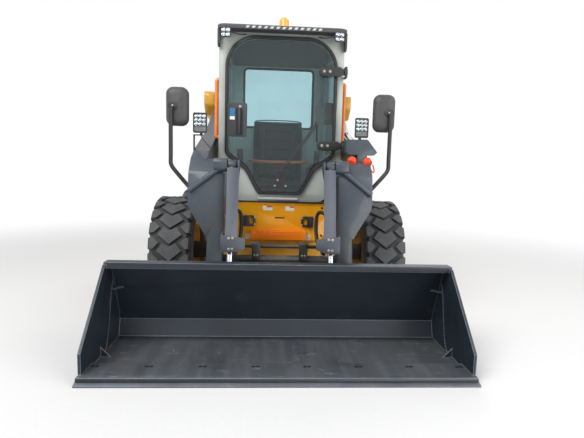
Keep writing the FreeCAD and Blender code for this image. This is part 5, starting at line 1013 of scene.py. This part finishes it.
class LOADER_OT_seals(bpy.types.Operator):
    """Black edges and rubber seals round the panes, the door's sill and the strip above the front panel"""
    bl_idname = "loader.seals"
    bl_label = "Seals"

    def execute(self, context):
        for name, body, node, way, width, rise, finish in PANES:
            band = self.rim(node, Vector(way), width / 1000, rise / 1000)
            rounded(add_piece(name, band, finish, body), 0.0004)
        ribs = [((-160, -449, height), (140, -446, height + 3)) for height in (833, 839)]
        boxes("door_sill", [((-160, -447, 829), (140, -424, 845)), *ribs],
              "sill_aluminium", "chassis", 0.0012)
        boxes("panel_strip", [((-345, -441, 806), (345, -424, 815))],
              "seal_rubber", "chassis", 0.0025, 3)
        return {"FINISHED"}

    @staticmethod
    def rim(node, way, width, rise):
        """A thin band round the outer face of each pane that looks one way."""
        shape = bmesh.new()
        shape.from_mesh(NODES[node].data)
        bmesh.ops.remove_doubles(shape, verts=shape.verts, dist=0.00005)
        bmesh.ops.dissolve_limit(shape, angle_limit=math.radians(1), verts=shape.verts, edges=shape.edges)
        reach = max((face.calc_center_median().dot(way) for face in shape.faces if face.normal.dot(way) > 0.98))
        outer = [face for face in shape.faces if face.normal.dot(way) > 0.98
                 and face.calc_area() > 0.05 and face.calc_center_median().dot(way) > reach - 0.1]
        bmesh.ops.delete(shape, geom=[face for face in shape.faces if face not in outer], context="FACES")
        band = bmesh.ops.inset_region(shape, faces=shape.faces[:], thickness=width, use_boundary=True,
                                      use_even_offset=True)["faces"]
        bmesh.ops.delete(shape, geom=[face for face in shape.faces if face not in band], context="FACES")
        bmesh.ops.translate(shape, verts=shape.verts, vec=way * 0.0003)
        carried = bmesh.ops.extrude_face_region(shape, geom=shape.faces[:], use_keep_orig=True)["geom"]
        moved = [item for item in carried if isinstance(item, bmesh.types.BMVert)]
        bmesh.ops.translate(shape, verts=moved, vec=way * rise)
        return mesh_from(shape)


class LOADER_OT_hoses(bpy.types.Operator):
    """Wrapped hoses behind the tilt cylinders, lamp wires, pipes on an arm and the lift cylinders, couplings"""
    bl_idname = "loader.hoses"
    bl_label = "Hoses and couplings"

    FERRULE = ((0, -3), (17, -3), (17, 12), (13.5, 14), (14, 32), (0, 32))
    HOSES = (("near", 0), ("far", 34))
    WIRES = (
        # piece, body, radius in metres, route of the left one
        ("lamp_wire", "boom", 0.0035,
         ((552, -668, 1284), (540, -674, 1252), (508, -690, 1216), (480, -696, 1190), (470, -698, 1158))),
        ("cab_lamp_wire", "chassis", 0.004,
         ((376, -508, 1996), (352, -500, 2006), (318, -492, 1994), (280, -470, 1998), (262, -440, 2012))),
    )
    # distance along a lift cylinder from its foot, then in front of its axis
    LIFT_PIPE = ((80, 34), (80, 50), (100, 52), (330, 52), (560, 52), (580, 50), (580, 34))
    SOCKET = ((0, -16), (19, -16), (19, 6), (16, 8), (16, 14), (18, 16), (18, 22), (0, 22))
    CAP = ((0, 12), (30, 12), (31, 16), (28, 19), (28, 30), (31, 33), (31, 44), (26, 50), (0, 50))
    COUPLINGS = (
        # across, level, sideways part of the way that it faces, sway of its strap
        (482, 1140, -0.30, -18), (570, 1136, 0.30, 22),
    )
    TEST_FITTING = ((0, -4), (15, -4), (15, 10), (11, 12), (11, 22), (17, 24), (17, 40), (12, 46), (0, 47))

    def execute(self, context):
        tube = path_tube()
        ferrules = bmesh.new()
        for hand, side in SIDES:
            for which, shift in self.HOSES:
                self.hose(tube, ferrules, f"wrapped_hose_{which}_{hand}", side, shift)
            for name, body, radius, route in self.WIRES:
                tube.grow(f"{name}_{hand}", path_curve(mirrored(route, side)), "hose_rubber", body, "cab_plastic",
                          radius=radius, sides=8)
        fitting("hose_ferrules", ferrules, "zinc", "boom", 0.001)
        self.arm_pipes(tube)
        self.lift_pipes(tube)
        self.couplings(tube)
        return {"FINISHED"}

    def hose(self, tube, ferrules, name, side, shift):
        """A wrapped hose from the arm's inner face down to the cross tube, with a ferrule at each end."""
        turned(ferrules, self.FERRULE, mm(side * 372, -736 + shift, 724), (-side, 0, 0))
        turned(ferrules, self.FERRULE, mm(side * (294 + shift * 0.2), -836, 502), (0, 1, 0))
        inner = 270 + shift * 0.2
        route = [(374, -736 + shift, 724), (356, -728 + shift, 728), (326, -690 + shift, 748),
                 (294, -634 + shift, 762), (inner, -606 + shift, 740), (inner - 3, -600 + shift, 680), (inner - 3, -604 + shift, 610),
                 (inner + 2, -632 + shift, 556), (inner + 12, -690 + shift, 522), (inner + 20, -760 + shift, 506),
                 (inner + 24, -812, 502), (inner + 24, -838, 502)]
        tube.grow(name, path_curve(mirrored(route, side)), "hose_rubber", "boom", "cab_plastic",
                  radius=0.0115, wave_pitch=0.011, wave_height=0.09, sides=14)

    @staticmethod
    def arm_pipes(tube):
        """Two steel pipes along the top of the left arm, each under its clamps."""
        for which, across in (("in", 520), ("out", 548)):
            route = [(across, along, landing("arm_left", "top", (across, along))[0].z * 1000 + 11)
                     for along in (560, 380, 200, 20, -160, -340, -480)]
            _, along, level = route[-1]
            route += [(across, along - 60, level - 24), (across, along - 130, level - 74)]
            tube.grow(f"arm_pipe_{which}", path_curve(route), "arm_slate", "boom", "arm_slate",
                      radius=0.0075, wave_pitch=0.06)
        shape = bmesh.new()
        for along in (470, 200, -70, -340):
            top, after, before = (landing("arm_left", "top", (534, along + step))[0] for step in (0, -30, 30))
            level, slope = top.z * 1000, after - before
            verts = block(shape, (506, along - 15, level - 2), (562, along + 15, level + 23))
            turn = Matrix.Rotation(math.atan2(slope.z, slope.y) + math.pi, 3, "X")
            bmesh.ops.rotate(shape, cent=top, matrix=turn, verts=verts)
        fitting("arm_pipe_clamps", shape, "black_steel", "boom", 0.003, 3)

    def lift_pipes(self, tube):
        """A steel pipe along each lift cylinder's barrel, between two ports."""
        joints = {joint["name"]: joint for joint in frame["joints"]}
        for hand, _ in SIDES:
            way = Vector(joints[f"lift_rod_{hand}_slide"]["axis"]).normalized()
            foot = Vector(joints[f"lift_barrel_{hand}_swing"]["pos_m"]) * 1000
            if way.z < 0:
                way = -way
            front = Vector((0, way.z, -way.y))
            if front.y > 0:
                front = -front
            route = [foot + way * along + front * off for along, off in self.LIFT_PIPE]
            tube.grow(f"lift_pipe_{hand}", path_curve(route), "black_steel", f"lift_barrel_{hand}", "black_steel",
                      radius=0.006, wave_pitch=0.03)

    def couplings(self, tube):
        """Capped quick couplings under the block on the left arm, their straps and the fitting beside them."""
        sockets, caps = bmesh.new(), bmesh.new()
        for number, (across, level, turn, sway) in enumerate(self.COUPLINGS, 1):
            spot, facing = mm(across, -766, level), Vector((turn, -0.72, -0.62)).normalized()
            turned(sockets, self.SOCKET, spot, facing)
            turned(caps, self.CAP, spot, facing)
            low = spot * 1000 + facing * 34
            steps = ((0, 6, -14), (sway, -10, -44), (sway * 2, 0, -70), (sway * 2.4, 16, -48), (sway * 2, 34, -12))
            tube.grow(f"cap_strap_{number}", path_curve([low + Vector(step) for step in steps]),
                      "cap_orange", "boom", "signal_orange", radius=0.0042, wave_pitch=0.02, sides=8)
        fitting("coupling_bodies", sockets, "zinc", "boom", 0.001)
        fitting("coupling_caps", caps, "cap_orange", "boom", 0.0015)
        top, _ = landing("arm_left", "top", (414, -700))
        turning("test_fitting", self.TEST_FITTING, top, UPWARD, "zinc", "boom", 0.001)


class LOADER_OT_trim(bpy.types.Operator):
    """Blank labels, the latch's lock and grip, door strap covers, grab rails, step studs, and pale plates painted as
    the light through the visor's slots
    """
    bl_idname = "loader.trim"
    bl_label = "Trim"

    LABELS = (
        # piece, body, CAD node, low and high corner in mm, finish, rise in mm
        ("panel_label_left", "chassis", "front_panel", (52, 745), (118, 778), "label_pale", 0.6),
        ("panel_label_left_head", "chassis", "front_panel", (84, 768), (118, 778), "label_red", 1.0),
        ("panel_label_right", "chassis", "front_panel", (-118, 745), (-46, 778), "label_pale", 0.6),
        ("panel_label_right_head", "chassis", "front_panel", (-90, 768), (-46, 778), "label_red", 1.0),
        ("latch_label", "door", "door_fittings", (-370, 1428), (-334, 1486), "label_blue", 0.6),
        ("latch_label_foot", "door", "door_fittings", (-370, 1404), (-334, 1427), "label_pale", 0.6),
        ("side_label_left", "chassis", "front_panel", (212, 524), (246, 566), "label_pale", 0.6),
        ("side_label_right", "chassis", "front_panel", (-246, 524), (-212, 566), "label_pale", 0.6),
        ("panel_slot", "chassis", "front_panel", (-44, 684), (62, 694), "seal_rubber", 1.2),
    )
    LOCK = ((0, -1), (11, -1), (11, 3), (9, 5), (0, 5))
    RAIL = ((449, 1284), (462, 1284), (480, 1284), (480, 1304), (480, 1420), (480, 1560), (480, 1684), (480, 1704),
            (462, 1704), (449, 1704))
    RAIL_FOOT = ((0, -1), (26, -1), (26, 5), (21, 8), (0, 8))
    TREAD_LEVEL = 0.58

    def execute(self, context):
        for row in self.LABELS:
            self.label(*row)
        self.latch()
        self.strap_pads()
        self.grab_rails()
        self.step_studs()
        self.visor_slot_light()
        return {"FINISHED"}

    @staticmethod
    def label(name, body, node, low, high, finish, rise):
        """A thin blank label on the front face of a node, between two corners."""
        middle = ((low[0] + high[0]) / 2, (low[1] + high[1]) / 2)
        face = landing(node, "front", middle)[0].y * 1000
        corners = ((low[0], face - rise, low[1]), (high[0], face + 0.2, high[1]))
        boxes(name, [corners], finish, body, 0.0002)

    def latch(self):
        """The lock's barrel with its keyway, and the dish that a hand reaches into."""
        face = landing("door_fittings", "front", (-268, 1500))[0].y * 1000
        shape = bmesh.new()
        turned(shape, self.LOCK, mm(-296, face, 1497), FORWARD)
        block(shape, (-297.2, face - 6, 1492), (-294.8, face - 4, 1502))
        fitting("latch_lock", shape, "zinc", "door", 0.0006)
        boxes("latch_dish", [((-326, face - 2, 1296), (-276, face + 0.5, 1486))],
              "seal_rubber", "door", 0.0016, 3)

    @staticmethod
    def strap_pads():
        """A rounded cover on each door strap, with two bright bolts."""
        shape, bolts = bmesh.new(), []
        for level in (1236, 1766):
            front = landing("door_frame", "front", (320, level))[0].y * 1000
            stack(shape, [corner_loop(358, level, 84 - inset, 34 - inset, 30 - inset, front + rise)
                          for inset, rise in ((0, 2), (0, -7), (1.5, -9.5), (4, -10))])
            bolts += [(mm(across, front - 10, level), FORWARD) for across in (304, 346)]
        fitting("strap_pads", shape, "black_steel", "door")
        hexagon_bolt().grow("strap_bolts", points_mesh(bolts, 8), "zinc", "door", "edge_steel")

    def grab_rails(self):
        """Thick bent rails beside the door, on their mounting feet."""
        tube = path_tube()
        for hand, side in SIDES:
            route = [(side * across, -330, level) for across, level in self.RAIL]
            rail = tube.grow(f"grab_rail_{hand}", path_curve(route), "rail_orange", "chassis", "rail_orange",
                             radius=0.0145, wave_pitch=0.024, sides=20)
            shape = bmesh.new()
            for level in (1284, 1704):
                turned(shape, self.RAIL_FOOT, mm(side * 450, -330, level), (side, 0, 0))
            fitting(f"grab_rail_feet_{hand}", shape, "rail_orange", "chassis", 0.001)
            if side == 1:
                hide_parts("grab_rails")

    def step_studs(self):
        """Rows of raised drops on the tread of the step."""
        places = [landing("front_step", "top", (across, along))
                  for across in evenly(-190, 190, 20) for along in evenly(-496, -448, 3)]
        on_tread = [(spot, facing) for spot, facing in places if spot.z > self.TREAD_LEVEL]
        round_rivet().grow("step_studs", points_mesh(on_tread, 4.5), "signal_orange", "chassis", "signal_orange",
                           rise=0.45)

    @staticmethod
    def visor_slot_light():
        """Pale slanted plates along the visor's upper edge: painted light that stands for the light showing through
        slots.
        """
        shape = bmesh.new()
        for across in evenly(-250, 262, 13):
            front = landing("cab_roof", "front", (across, 2040))[0].y * 1000 - 1.2
            corners = ((across - 15, 2032), (across + 7, 2032), (across + 17, 2048), (across - 5, 2048))
            outline_plate(shape, [mm(x, front, z) for x, z in corners], mm(0, 1.4, 0))
        fitting("visor_slot_light", shape, "slot_pale", "chassis")


class LOADER_OT_screens(bpy.types.Operator):
    """The wire screen behind the vents of the rear door"""
    bl_idname = "loader.screens"
    bl_label = "Screens"

    def execute(self, context):
        depth = landing("tailgate", "rear", (0, 560))[0].y * 1000 - 46
        places = [(mm(0, depth, height), Vector((1, 0, 0))) for height in evenly(800, 1060, 40)]
        bars().grow("gate_screen", points_mesh(places, 1), "black_steel", "tailgate", "black_steel", bar_length=0.64)
        return {"FINISHED"}


class LOADER_OT_welds(bpy.types.Operator):
    """Weld beads along the plates' joints"""
    bl_idname = "loader.welds"
    bl_label = "Welds"

    def execute(self, context):
        bead = weld_bead()
        lip = [landing("bucket_shell", "top", (across, -1519))[0] * 1000 for across in evenly(-960, 960, 9)]
        bead.grow("lip_weld", path_curve([tuple(spot) for spot in lip]), "edge_steel", "bucket", "edge_steel",
                  bead=0.0055, pitch=0.009)
        for hand, side in SIDES:
            self.bucket_side(bead, hand, side)
        return {"FINISHED"}

    @staticmethod
    def bucket_side(bead, hand, side):
        """A bead down the inside corner between the bucket's back, floor and side plate."""
        inner = side * 978
        path = []
        for height in (470, 380, 290, 200, 130):
            back, _ = landing("bucket_shell", "front", (side * 930, height))
            path.append((inner, back.y * 1000, back.z * 1000))
        for along in (-1120, -1200, -1300, -1400, -1500):
            floor, _ = landing("bucket_shell", "top", (side * 930, along))
            path.append((inner, along, floor.z * 1000))
        bead.grow(f"bucket_weld_{hand}", path_curve(path), "bucket_steel", "bucket", "bucket_steel",
                  bead=0.0075, pitch=0.008)


class LOADER_OT_tyre_trim(bpy.types.Operator):
    """Raised rings and short ribs on the tyres' sidewalls, and valves in the rims"""
    bl_idname = "loader.tyre_trim"
    bl_label = "Tyre sidewalls"

    # radius, half width and rise of each raised ring, in mm
    RINGS = ((247, 3.5, 3), (262, 2, 2), (322, 3, 2.5))
    RIBS = {"radius": 292, "count": 72}
    VALVE = ((0, -3), (6, -3), (6, 6), (4, 8), (4, 22), (5, 23), (5, 32), (0, 33))

    def execute(self, context):
        row = bars()
        for end, along in AXLES:
            for hand, side in SIDES:
                self.dress(row, f"{end}_{hand}", hand, along, Vector((side, 0, 0)))
        return {"FINISHED"}

    def dress(self, row, wheel, hand, along, out):
        """The rings, ribs and valve on the outer side of one wheel."""
        node, body = f"tyre_{wheel}", f"wheel_{wheel}"
        shape = bmesh.new()
        for radius, width, rise in self.RINGS:
            wall, _ = landing(node, hand, (along, AXLE_LEVEL + radius))
            turned_ring(shape, mm(0, along, AXLE_LEVEL) + Vector((wall.x, 0, 0)), out, radius, width, rise)
        fitting(f"sidewall_rings_{wheel}", shape, "tyre_rubber", body)
        ribs = []
        for spot in ring(along, AXLE_LEVEL, **self.RIBS):
            wall, _ = landing(node, hand, spot)
            ribs.append((wall, (wall - Vector((wall.x, along / 1000, AXLE_LEVEL / 1000))).normalized()))
        row.grow(f"sidewall_ribs_{wheel}", points_mesh(ribs, 1), "tyre_rubber", body, "tyre_rubber",
                 bar_length=0.026, bar_width=0.0035, bar_depth=0.0035)
        foot, _ = landing(f"rim_{wheel}", hand, (along, AXLE_LEVEL - 188))
        turning(f"valve_{wheel}", self.VALVE, foot, out, "seal_rubber", body, sides=12)


def turned_ring(shape, centre, way, radius, width, rise, segments=96):
    """Add a raised ring with a round top about an axis."""
    turn = way.to_track_quat("Z", "Y").to_matrix().to_4x4()
    place = Matrix.Translation(centre) @ turn
    profile = ((-width, -2), (-width, rise * 0.6), (0, rise), (width, rise * 0.6), (width, -2))
    loops = [[shape.verts.new(place @ mm((radius + off) * math.cos(a), (radius + off) * math.sin(a), high))
              for a in (2 * math.pi * step / segments for step in range(segments))] for off, high in profile]
    for first, second in zip(loops, loops[1:] + loops[:1]):
        for step in range(segments):
            after = (step + 1) % segments
            shape.faces.new((first[step], first[after], second[after], second[step]))


class LOADER_OT_seat(bpy.types.Operator):
    """Padded seat: cushion and back puffed as cloth, with sewn channels, piping and a moulded shell"""
    bl_idname = "loader.seat"
    bl_label = "Seat"

    PADS = (
        # piece, lowest and highest corner in mm, lean in degrees, axis of its thickness
        ("seat_cushion", (-222, -48, 888), (222, 300, 962), 3, 2),
        ("seat_back", (-214, 318, 950), (214, 392, 1488), 0, 1),
    )
    # in metres: seams this far to each side, channels this far apart, and how deep both are pressed in
    SEAM, SEAM_WIDTH = 0.118, 0.007
    CHANNEL, CHANNEL_WIDTH = 0.082, 0.006
    SEWN_DEPTH = 0.007
    # piece, lowest and highest corner of the loop in mm, whether it lies flat
    PIPING = (("cushion_piping", (-224, -50), (224, 302), True), ("back_piping", (-216, 948), (216, 1490), False))
    PIPING_CORNER = 26

    def execute(self, context):
        puff = context.scene.loader_fittings.seat_puff
        pads = [self.pad(*row, puff) for row in self.PADS]
        for pad in pads:
            finish_as(pad, "seat_vinyl", "chassis")
        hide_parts("seat")
        pan = [((-226, -52, 869), (226, 330, 892)), ((-218, 388, 900), (218, 399, 1480)),
               ((-200, 300, 872), (200, 398, 935))]
        boxes("seat_shell", pan, "cab_plastic", "chassis", 0.008, 3)
        self.piping()
        return {"FINISHED"}

    def pad(self, name, low, high, lean, thick, puff):
        """One pad: a rounded block, puffed, sewn and leaned back."""
        shape = bmesh.new()
        inset = Vector((10, 10, 10))
        inset[thick] = 6
        block(shape, tuple(Vector(low) + inset), tuple(Vector(high) - inset))
        pad = link(name, mesh_from(shape))
        bevel = pad.modifiers.new("Corners", "BEVEL")
        bevel.width, bevel.segments = 0.024, 4
        remesh = pad.modifiers.new("Remesh", "REMESH")
        remesh.mode, remesh.voxel_size = "VOXEL", 0.006
        settle(pad)
        puff_up(pad, puff)
        centre = (mm(*low) + mm(*high)) / 2
        self.sew(pad, centre, thick)
        turn = Matrix.Translation(centre) @ Matrix.Rotation(math.radians(lean), 4, "X") @ Matrix.Translation(-centre)
        pad.data.transform(turn)
        smooth = pad.modifiers.new("Smooth", "SUBSURF")
        smooth.levels = smooth.render_levels = 1
        for face in pad.data.polygons:
            face.use_smooth = True
        return pad

    def sew(self, pad, centre, thick):
        """Press two seams and, between them, five cross channels into both faces of a pad."""
        run = 1 if thick == 2 else 2
        for vertex in pad.data.vertices:
            spot = vertex.co.copy()
            groove = dip(spot.x + self.SEAM, self.SEAM_WIDTH) + dip(spot.x - self.SEAM, self.SEAM_WIDTH)
            if abs(spot.x) < self.SEAM:
                for cross in range(-2, 3):
                    groove += 0.8 * dip(spot[run] - centre[run] - cross * self.CHANNEL, self.CHANNEL_WIDTH)
            side = 1 if spot[thick] > centre[thick] else -1
            vertex.co[thick] -= side * self.SEWN_DEPTH * min(groove, 1.0)

    def piping(self):
        """A cord sewn round the edge of each pad."""
        tube = path_tube()
        corner = self.PIPING_CORNER
        for name, (x0, a0), (x1, a1), flat in self.PIPING:
            route = [(x0 + corner, a0), (x1 - corner, a0), (x1, a0 + corner), (x1, a1 - corner), (x1 - corner, a1),
                     (x0 + corner, a1), (x0, a1 - corner), (x0, a0 + corner)]
            spots = [(across, along, 925) if flat else (across, 352, along) for across, along in route]
            tube.grow(name, path_curve(spots, cyclic=True), "seat_vinyl", "chassis", "seat_vinyl",
                      radius=0.0045, wave_pitch=0.02)


def dip(distance, width):
    """How deep a seam presses at a distance from it, 1 at its middle."""
    return math.exp(-(distance / width) ** 2)


def settle(piece):
    """Apply a piece's modifiers to its mesh."""
    graph = bpy.context.evaluated_depsgraph_get()
    mesh = bpy.data.meshes.new_from_object(piece.evaluated_get(graph), depsgraph=graph)
    piece.modifiers.clear()
    piece.data = mesh


def puff_up(pad, cap):
    """Swell a pad as pressed cloth, with no point moved further than the cap."""
    scene = bpy.context.scene
    before = [vertex.co.copy() for vertex in pad.data.vertices]
    cloth = pad.modifiers.new("Cloth", "CLOTH")
    cloth.settings.use_pressure = True
    cloth.settings.uniform_pressure_force = 4
    cloth.settings.effector_weights.gravity = 0
    cloth.point_cache.frame_start, cloth.point_cache.frame_end = 1, 20
    for step in range(1, 21):
        scene.frame_set(step)
    graph = bpy.context.evaluated_depsgraph_get()
    after = [vertex.co.copy() for vertex in pad.evaluated_get(graph).data.vertices]
    pad.modifiers.clear()
    scene.frame_set(1)
    for vertex, old, new in zip(pad.data.vertices, before, after):
        move = new - old
        vertex.co = old + (move if move.length <= cap else move.normalized() * cap)


class LOADER_OT_cab_fittings(bpy.types.Operator):
    """What shows through the glass: lever boots and buttons, pedals, lap bar, headliner, monitor and floor mat"""
    bl_idname = "loader.cab_fittings"
    bl_label = "Cab fittings"

    LEVER, BUTTON_LEVEL, CONSOLE_LEVEL = 317, 1190, 1075
    BUTTONS = ((-7, 4), (7, 4), (0, -10))
    BOOT = [(0, 0), *(row for fold in range(7) for row in ((40 - fold * 4, fold * 8), (35 - fold * 4, fold * 8 + 4))),
            (0, 56)]
    PEDAL, PEDAL_HINGE = 150, (-215, 560)
    LAP_BAR = ((-246, 300, 1120), (-246, 120, 1126), (-240, -40, 1120), (-190, -110, 1112), (0, -128, 1110),
               (190, -110, 1112), (240, -40, 1120), (246, 120, 1126), (246, 300, 1120))
    BOXES = (
        # piece, low and high corner in mm, finish, slot, rounding in metres, its segments
        ("monitor", (330, -372, 1400), (408, -352, 1560), "cab_plastic", "cab_plastic", 0.004, 3),
        ("monitor_glass", (338, -374, 1430), (400, -371, 1550), "pane_edge", "tinted_glass", 0.0015, 2),
        ("headliner", (-400, -380, 1972), (400, 420, 1992), "lining", "cab_grey", 0.008, 3),
        ("floor_mat", (-250, -395, 541), (250, -80, 549), "seal_rubber", "cab_plastic", 0.003, 2),
    )

    def execute(self, context):
        rivet = round_rivet()
        for hand, side in SIDES:
            self.lever(rivet, hand, side * self.LEVER)
            self.pedal(hand, side * self.PEDAL)
        path_tube().grow("lap_bar", path_curve(self.LAP_BAR), "rail_orange", "chassis", "rail_orange",
                         radius=0.013, wave_pitch=0.03, sides=16)
        for name, low, high, finish, slot, edge, segments in self.BOXES:
            boxes(name, [(low, high)], finish, "chassis", edge, segments)
        return {"FINISHED"}

    def lever(self, rivet, hand, across):
        """A folded boot, three buttons on the grip and nine on the console."""
        low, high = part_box("control_levers")
        along = (low[1] + high[1]) * 500
        turning(f"lever_boot_{hand}", self.BOOT, mm(across, along, self.CONSOLE_LEVEL), UPWARD,
                "seal_rubber", "chassis", 0.001)
        spots = [(mm(across + step, along - 24, self.BUTTON_LEVEL + up), FORWARD) for step, up in self.BUTTONS]
        rivet.grow(f"lever_buttons_{hand}", points_mesh(spots, 5), "label_red", "chassis", "lamp_red", rise=0.8)
        spots = [(landing("control_consoles", "top", (across + step, back))[0], UPWARD)
                 for step in (-24, 0, 24) for back in (120, 150, 180)]
        rivet.grow(f"console_buttons_{hand}", points_mesh(spots, 8), "label_pale", "chassis", "cab_plastic", rise=0.5)

    def pedal(self, hand, across):
        """A pedal tipped about its hinge."""
        pedal = boxes(f"pedal_{hand}", [((across - 55, -330, 556), (across + 55, -215, 566))],
                      "black_steel", "chassis", 0.002)
        hinge = mm(0, *self.PEDAL_HINGE)
        pedal.data.transform(Matrix.Translation(hinge) @ Matrix.Rotation(math.radians(-22), 4, "X")
                             @ Matrix.Translation(-hinge))


class LOADER_OT_studio(bpy.types.Operator):
    """Lay the floor, hang the lights and set the camera at the photograph's view"""
    bl_idname = "loader.studio"
    bl_label = "Studio"

    FADE = (2.7, 6.0)
    AIM = (0, -0.3, 0.8)
    LIGHTS = (
        # name, place, size, power as a share of the key light's
        ("key", (-3.2, -4.6, 5.6), 4.0, 1.0), ("fill", (4.6, -3.4, 3.2), 4.0, 0.32),
        ("rim", (1.5, 5.0, 5.0), 3.5, 0.45), ("front", (3.2, -5.8, 1.0), 2.0, 0.16),
    )
    CAMERA = (-0.0988, -3.8219, 1.0706)
    YAW, PITCH, ROLL = -0.0594, 0.1134, 0.0273

    def execute(self, context):
        scene = context.scene
        self.floor(scene)
        self.sky(scene)
        self.lights(scene)
        self.camera(scene)
        scene.view_settings.view_transform = "Standard"
        return {"FINISHED"}

    @staticmethod
    def white_for_eyes(s):
        """1 for rays that see the backdrop straight, in a reflection or through glass."""
        path = s.node("ShaderNodeLightPath").socket.node
        seen = [Wire(s, path.outputs[name]) for name in ("Is Camera Ray", "Is Glossy Ray", "Is Transmission Ray")]
        return (seen[0] + seen[1] + seen[2]).least(1.0)

    def floor(self, scene):
        """A pale round floor that turns into the white backdrop with distance."""
        shape = bmesh.new()
        bmesh.ops.create_circle(shape, cap_ends=True, segments=96, radius=scene.loader_studio.floor_radius)
        mesh = bpy.data.meshes.new("floor")
        shape.to_mesh(mesh)
        shape.free()
        s = Shader("studio_floor")
        far = ((s.x * s.x + s.y * s.y) ** 0.5).ramp(*self.FADE)
        pale = scene.loader_colours.floor_pale
        ground = s.node("ShaderNodeBsdfPrincipled", inputs={
            "Base Color": s.blend(linear(pale, 0.96), linear(pale, 1.03), s.noise(40, 6)), "Roughness": 0.9,
            "Specular IOR Level": 0.1})
        white = s.node("ShaderNodeEmission", inputs={"Color": (1, 1, 1, 1), "Strength": 1.0})
        mix = {0: far * self.white_for_eyes(s), 1: ground, 2: white}
        mesh.materials.append(s.output(s.node("ShaderNodeMixShader", inputs=mix)))
        link("floor", mesh)

    def sky(self, scene):
        """Even light from all round, and white where an eye sees it."""
        s = Tree(bpy.data.worlds.new("studio_sky"))
        level = {"Value": self.white_for_eyes(s), "To Min": scene.loader_studio.sky}
        strength = s.node("ShaderNodeMapRange", inputs=level)
        back = s.node("ShaderNodeBackground", inputs={"Color": (1, 1, 1, 1), "Strength": strength})
        scene.world = s.output(back, "ShaderNodeOutputWorld")

    def lights(self, scene):
        """Soft square lights that all look at the loader's middle."""
        for name, spot, size, share in self.LIGHTS:
            lamp = bpy.data.lights.new(name, "AREA")
            lamp.energy = scene.loader_studio.key_power * share
            lamp.size = size
            light = link(name, lamp)
            light.location = spot
            light.rotation_euler = (Vector(self.AIM) - Vector(spot)).to_track_quat("-Z", "Y").to_euler()

    def camera(self, scene):
        """Lens, place and turn found from the photograph's own straight lines."""
        ahead = Vector((-math.sin(self.YAW), math.cos(self.YAW), 0))
        right = Vector((math.cos(self.YAW), math.sin(self.YAW), 0))
        view = ahead * math.cos(self.PITCH) - UPWARD * math.sin(self.PITCH)
        top = UPWARD * math.cos(self.PITCH) + ahead * math.sin(self.PITCH)
        across = right * math.cos(self.ROLL) + top * math.sin(self.ROLL)
        above = top * math.cos(self.ROLL) - right * math.sin(self.ROLL)
        data = bpy.data.cameras.new("camera")
        data.lens = scene.loader_studio.lens
        data.sensor_width = 36.0
        camera = link("camera", data)
        camera.matrix_world = Matrix.Translation(self.CAMERA) @ Matrix((across, above, -view)).transposed().to_4x4()
        scene.camera = camera


class LOADER_PT_panel(bpy.types.Panel):
    """Sizes, colours and steps of the loader"""
    bl_label = "Skid steer loader"
    bl_space_type = "VIEW_3D"
    bl_region_type = "UI"
    bl_category = "Loader"

    def draw(self, context):
        layout = self.layout
        for operator in OPERATORS:
            layout.operator(operator.bl_idname)
        for group, _ in GROUPS:
            settings = getattr(context.scene, group)
            for name in settings.bl_rna.properties.keys():
                if name not in ("rna_type", "name"):
                    layout.prop(settings, name)


GROUPS = (
    ("loader_colours", LoaderColours), ("loader_finish", LoaderFinish), ("loader_fittings", LoaderFittings),
    ("loader_studio", LoaderStudio),
)
OPERATORS = (
    LOADER_OT_finishes, LOADER_OT_fasteners, LOADER_OT_lamps, LOADER_OT_mirrors, LOADER_OT_seals, LOADER_OT_hoses,
    LOADER_OT_trim, LOADER_OT_screens, LOADER_OT_welds, LOADER_OT_tyre_trim, LOADER_OT_seat, LOADER_OT_cab_fittings,
    LOADER_OT_studio,
)


def register():
    for group, kind in GROUPS:
        bpy.utils.register_class(kind)
        setattr(bpy.types.Scene, group, PointerProperty(type=kind))
    for kind in OPERATORS + (LOADER_PT_panel,):
        bpy.utils.register_class(kind)


def unregister():
    for kind in reversed(OPERATORS + (LOADER_PT_panel,)):
        bpy.utils.unregister_class(kind)
    for group, kind in reversed(GROUPS):
        delattr(bpy.types.Scene, group)
        bpy.utils.unregister_class(kind)


def clear_start():
    """Take away what a new file holds."""
    for item in list(bpy.data.objects):
        if item.name in ("Cube", "Light", "Camera"):
            bpy.data.objects.remove(item)


def main():
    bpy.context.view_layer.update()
    register()
    for operator in OPERATORS:
        group, _, name = operator.bl_idname.partition(".")
        getattr(getattr(bpy.ops, group), name)()


if __name__ == "__main__":
    clear_start()
    main()
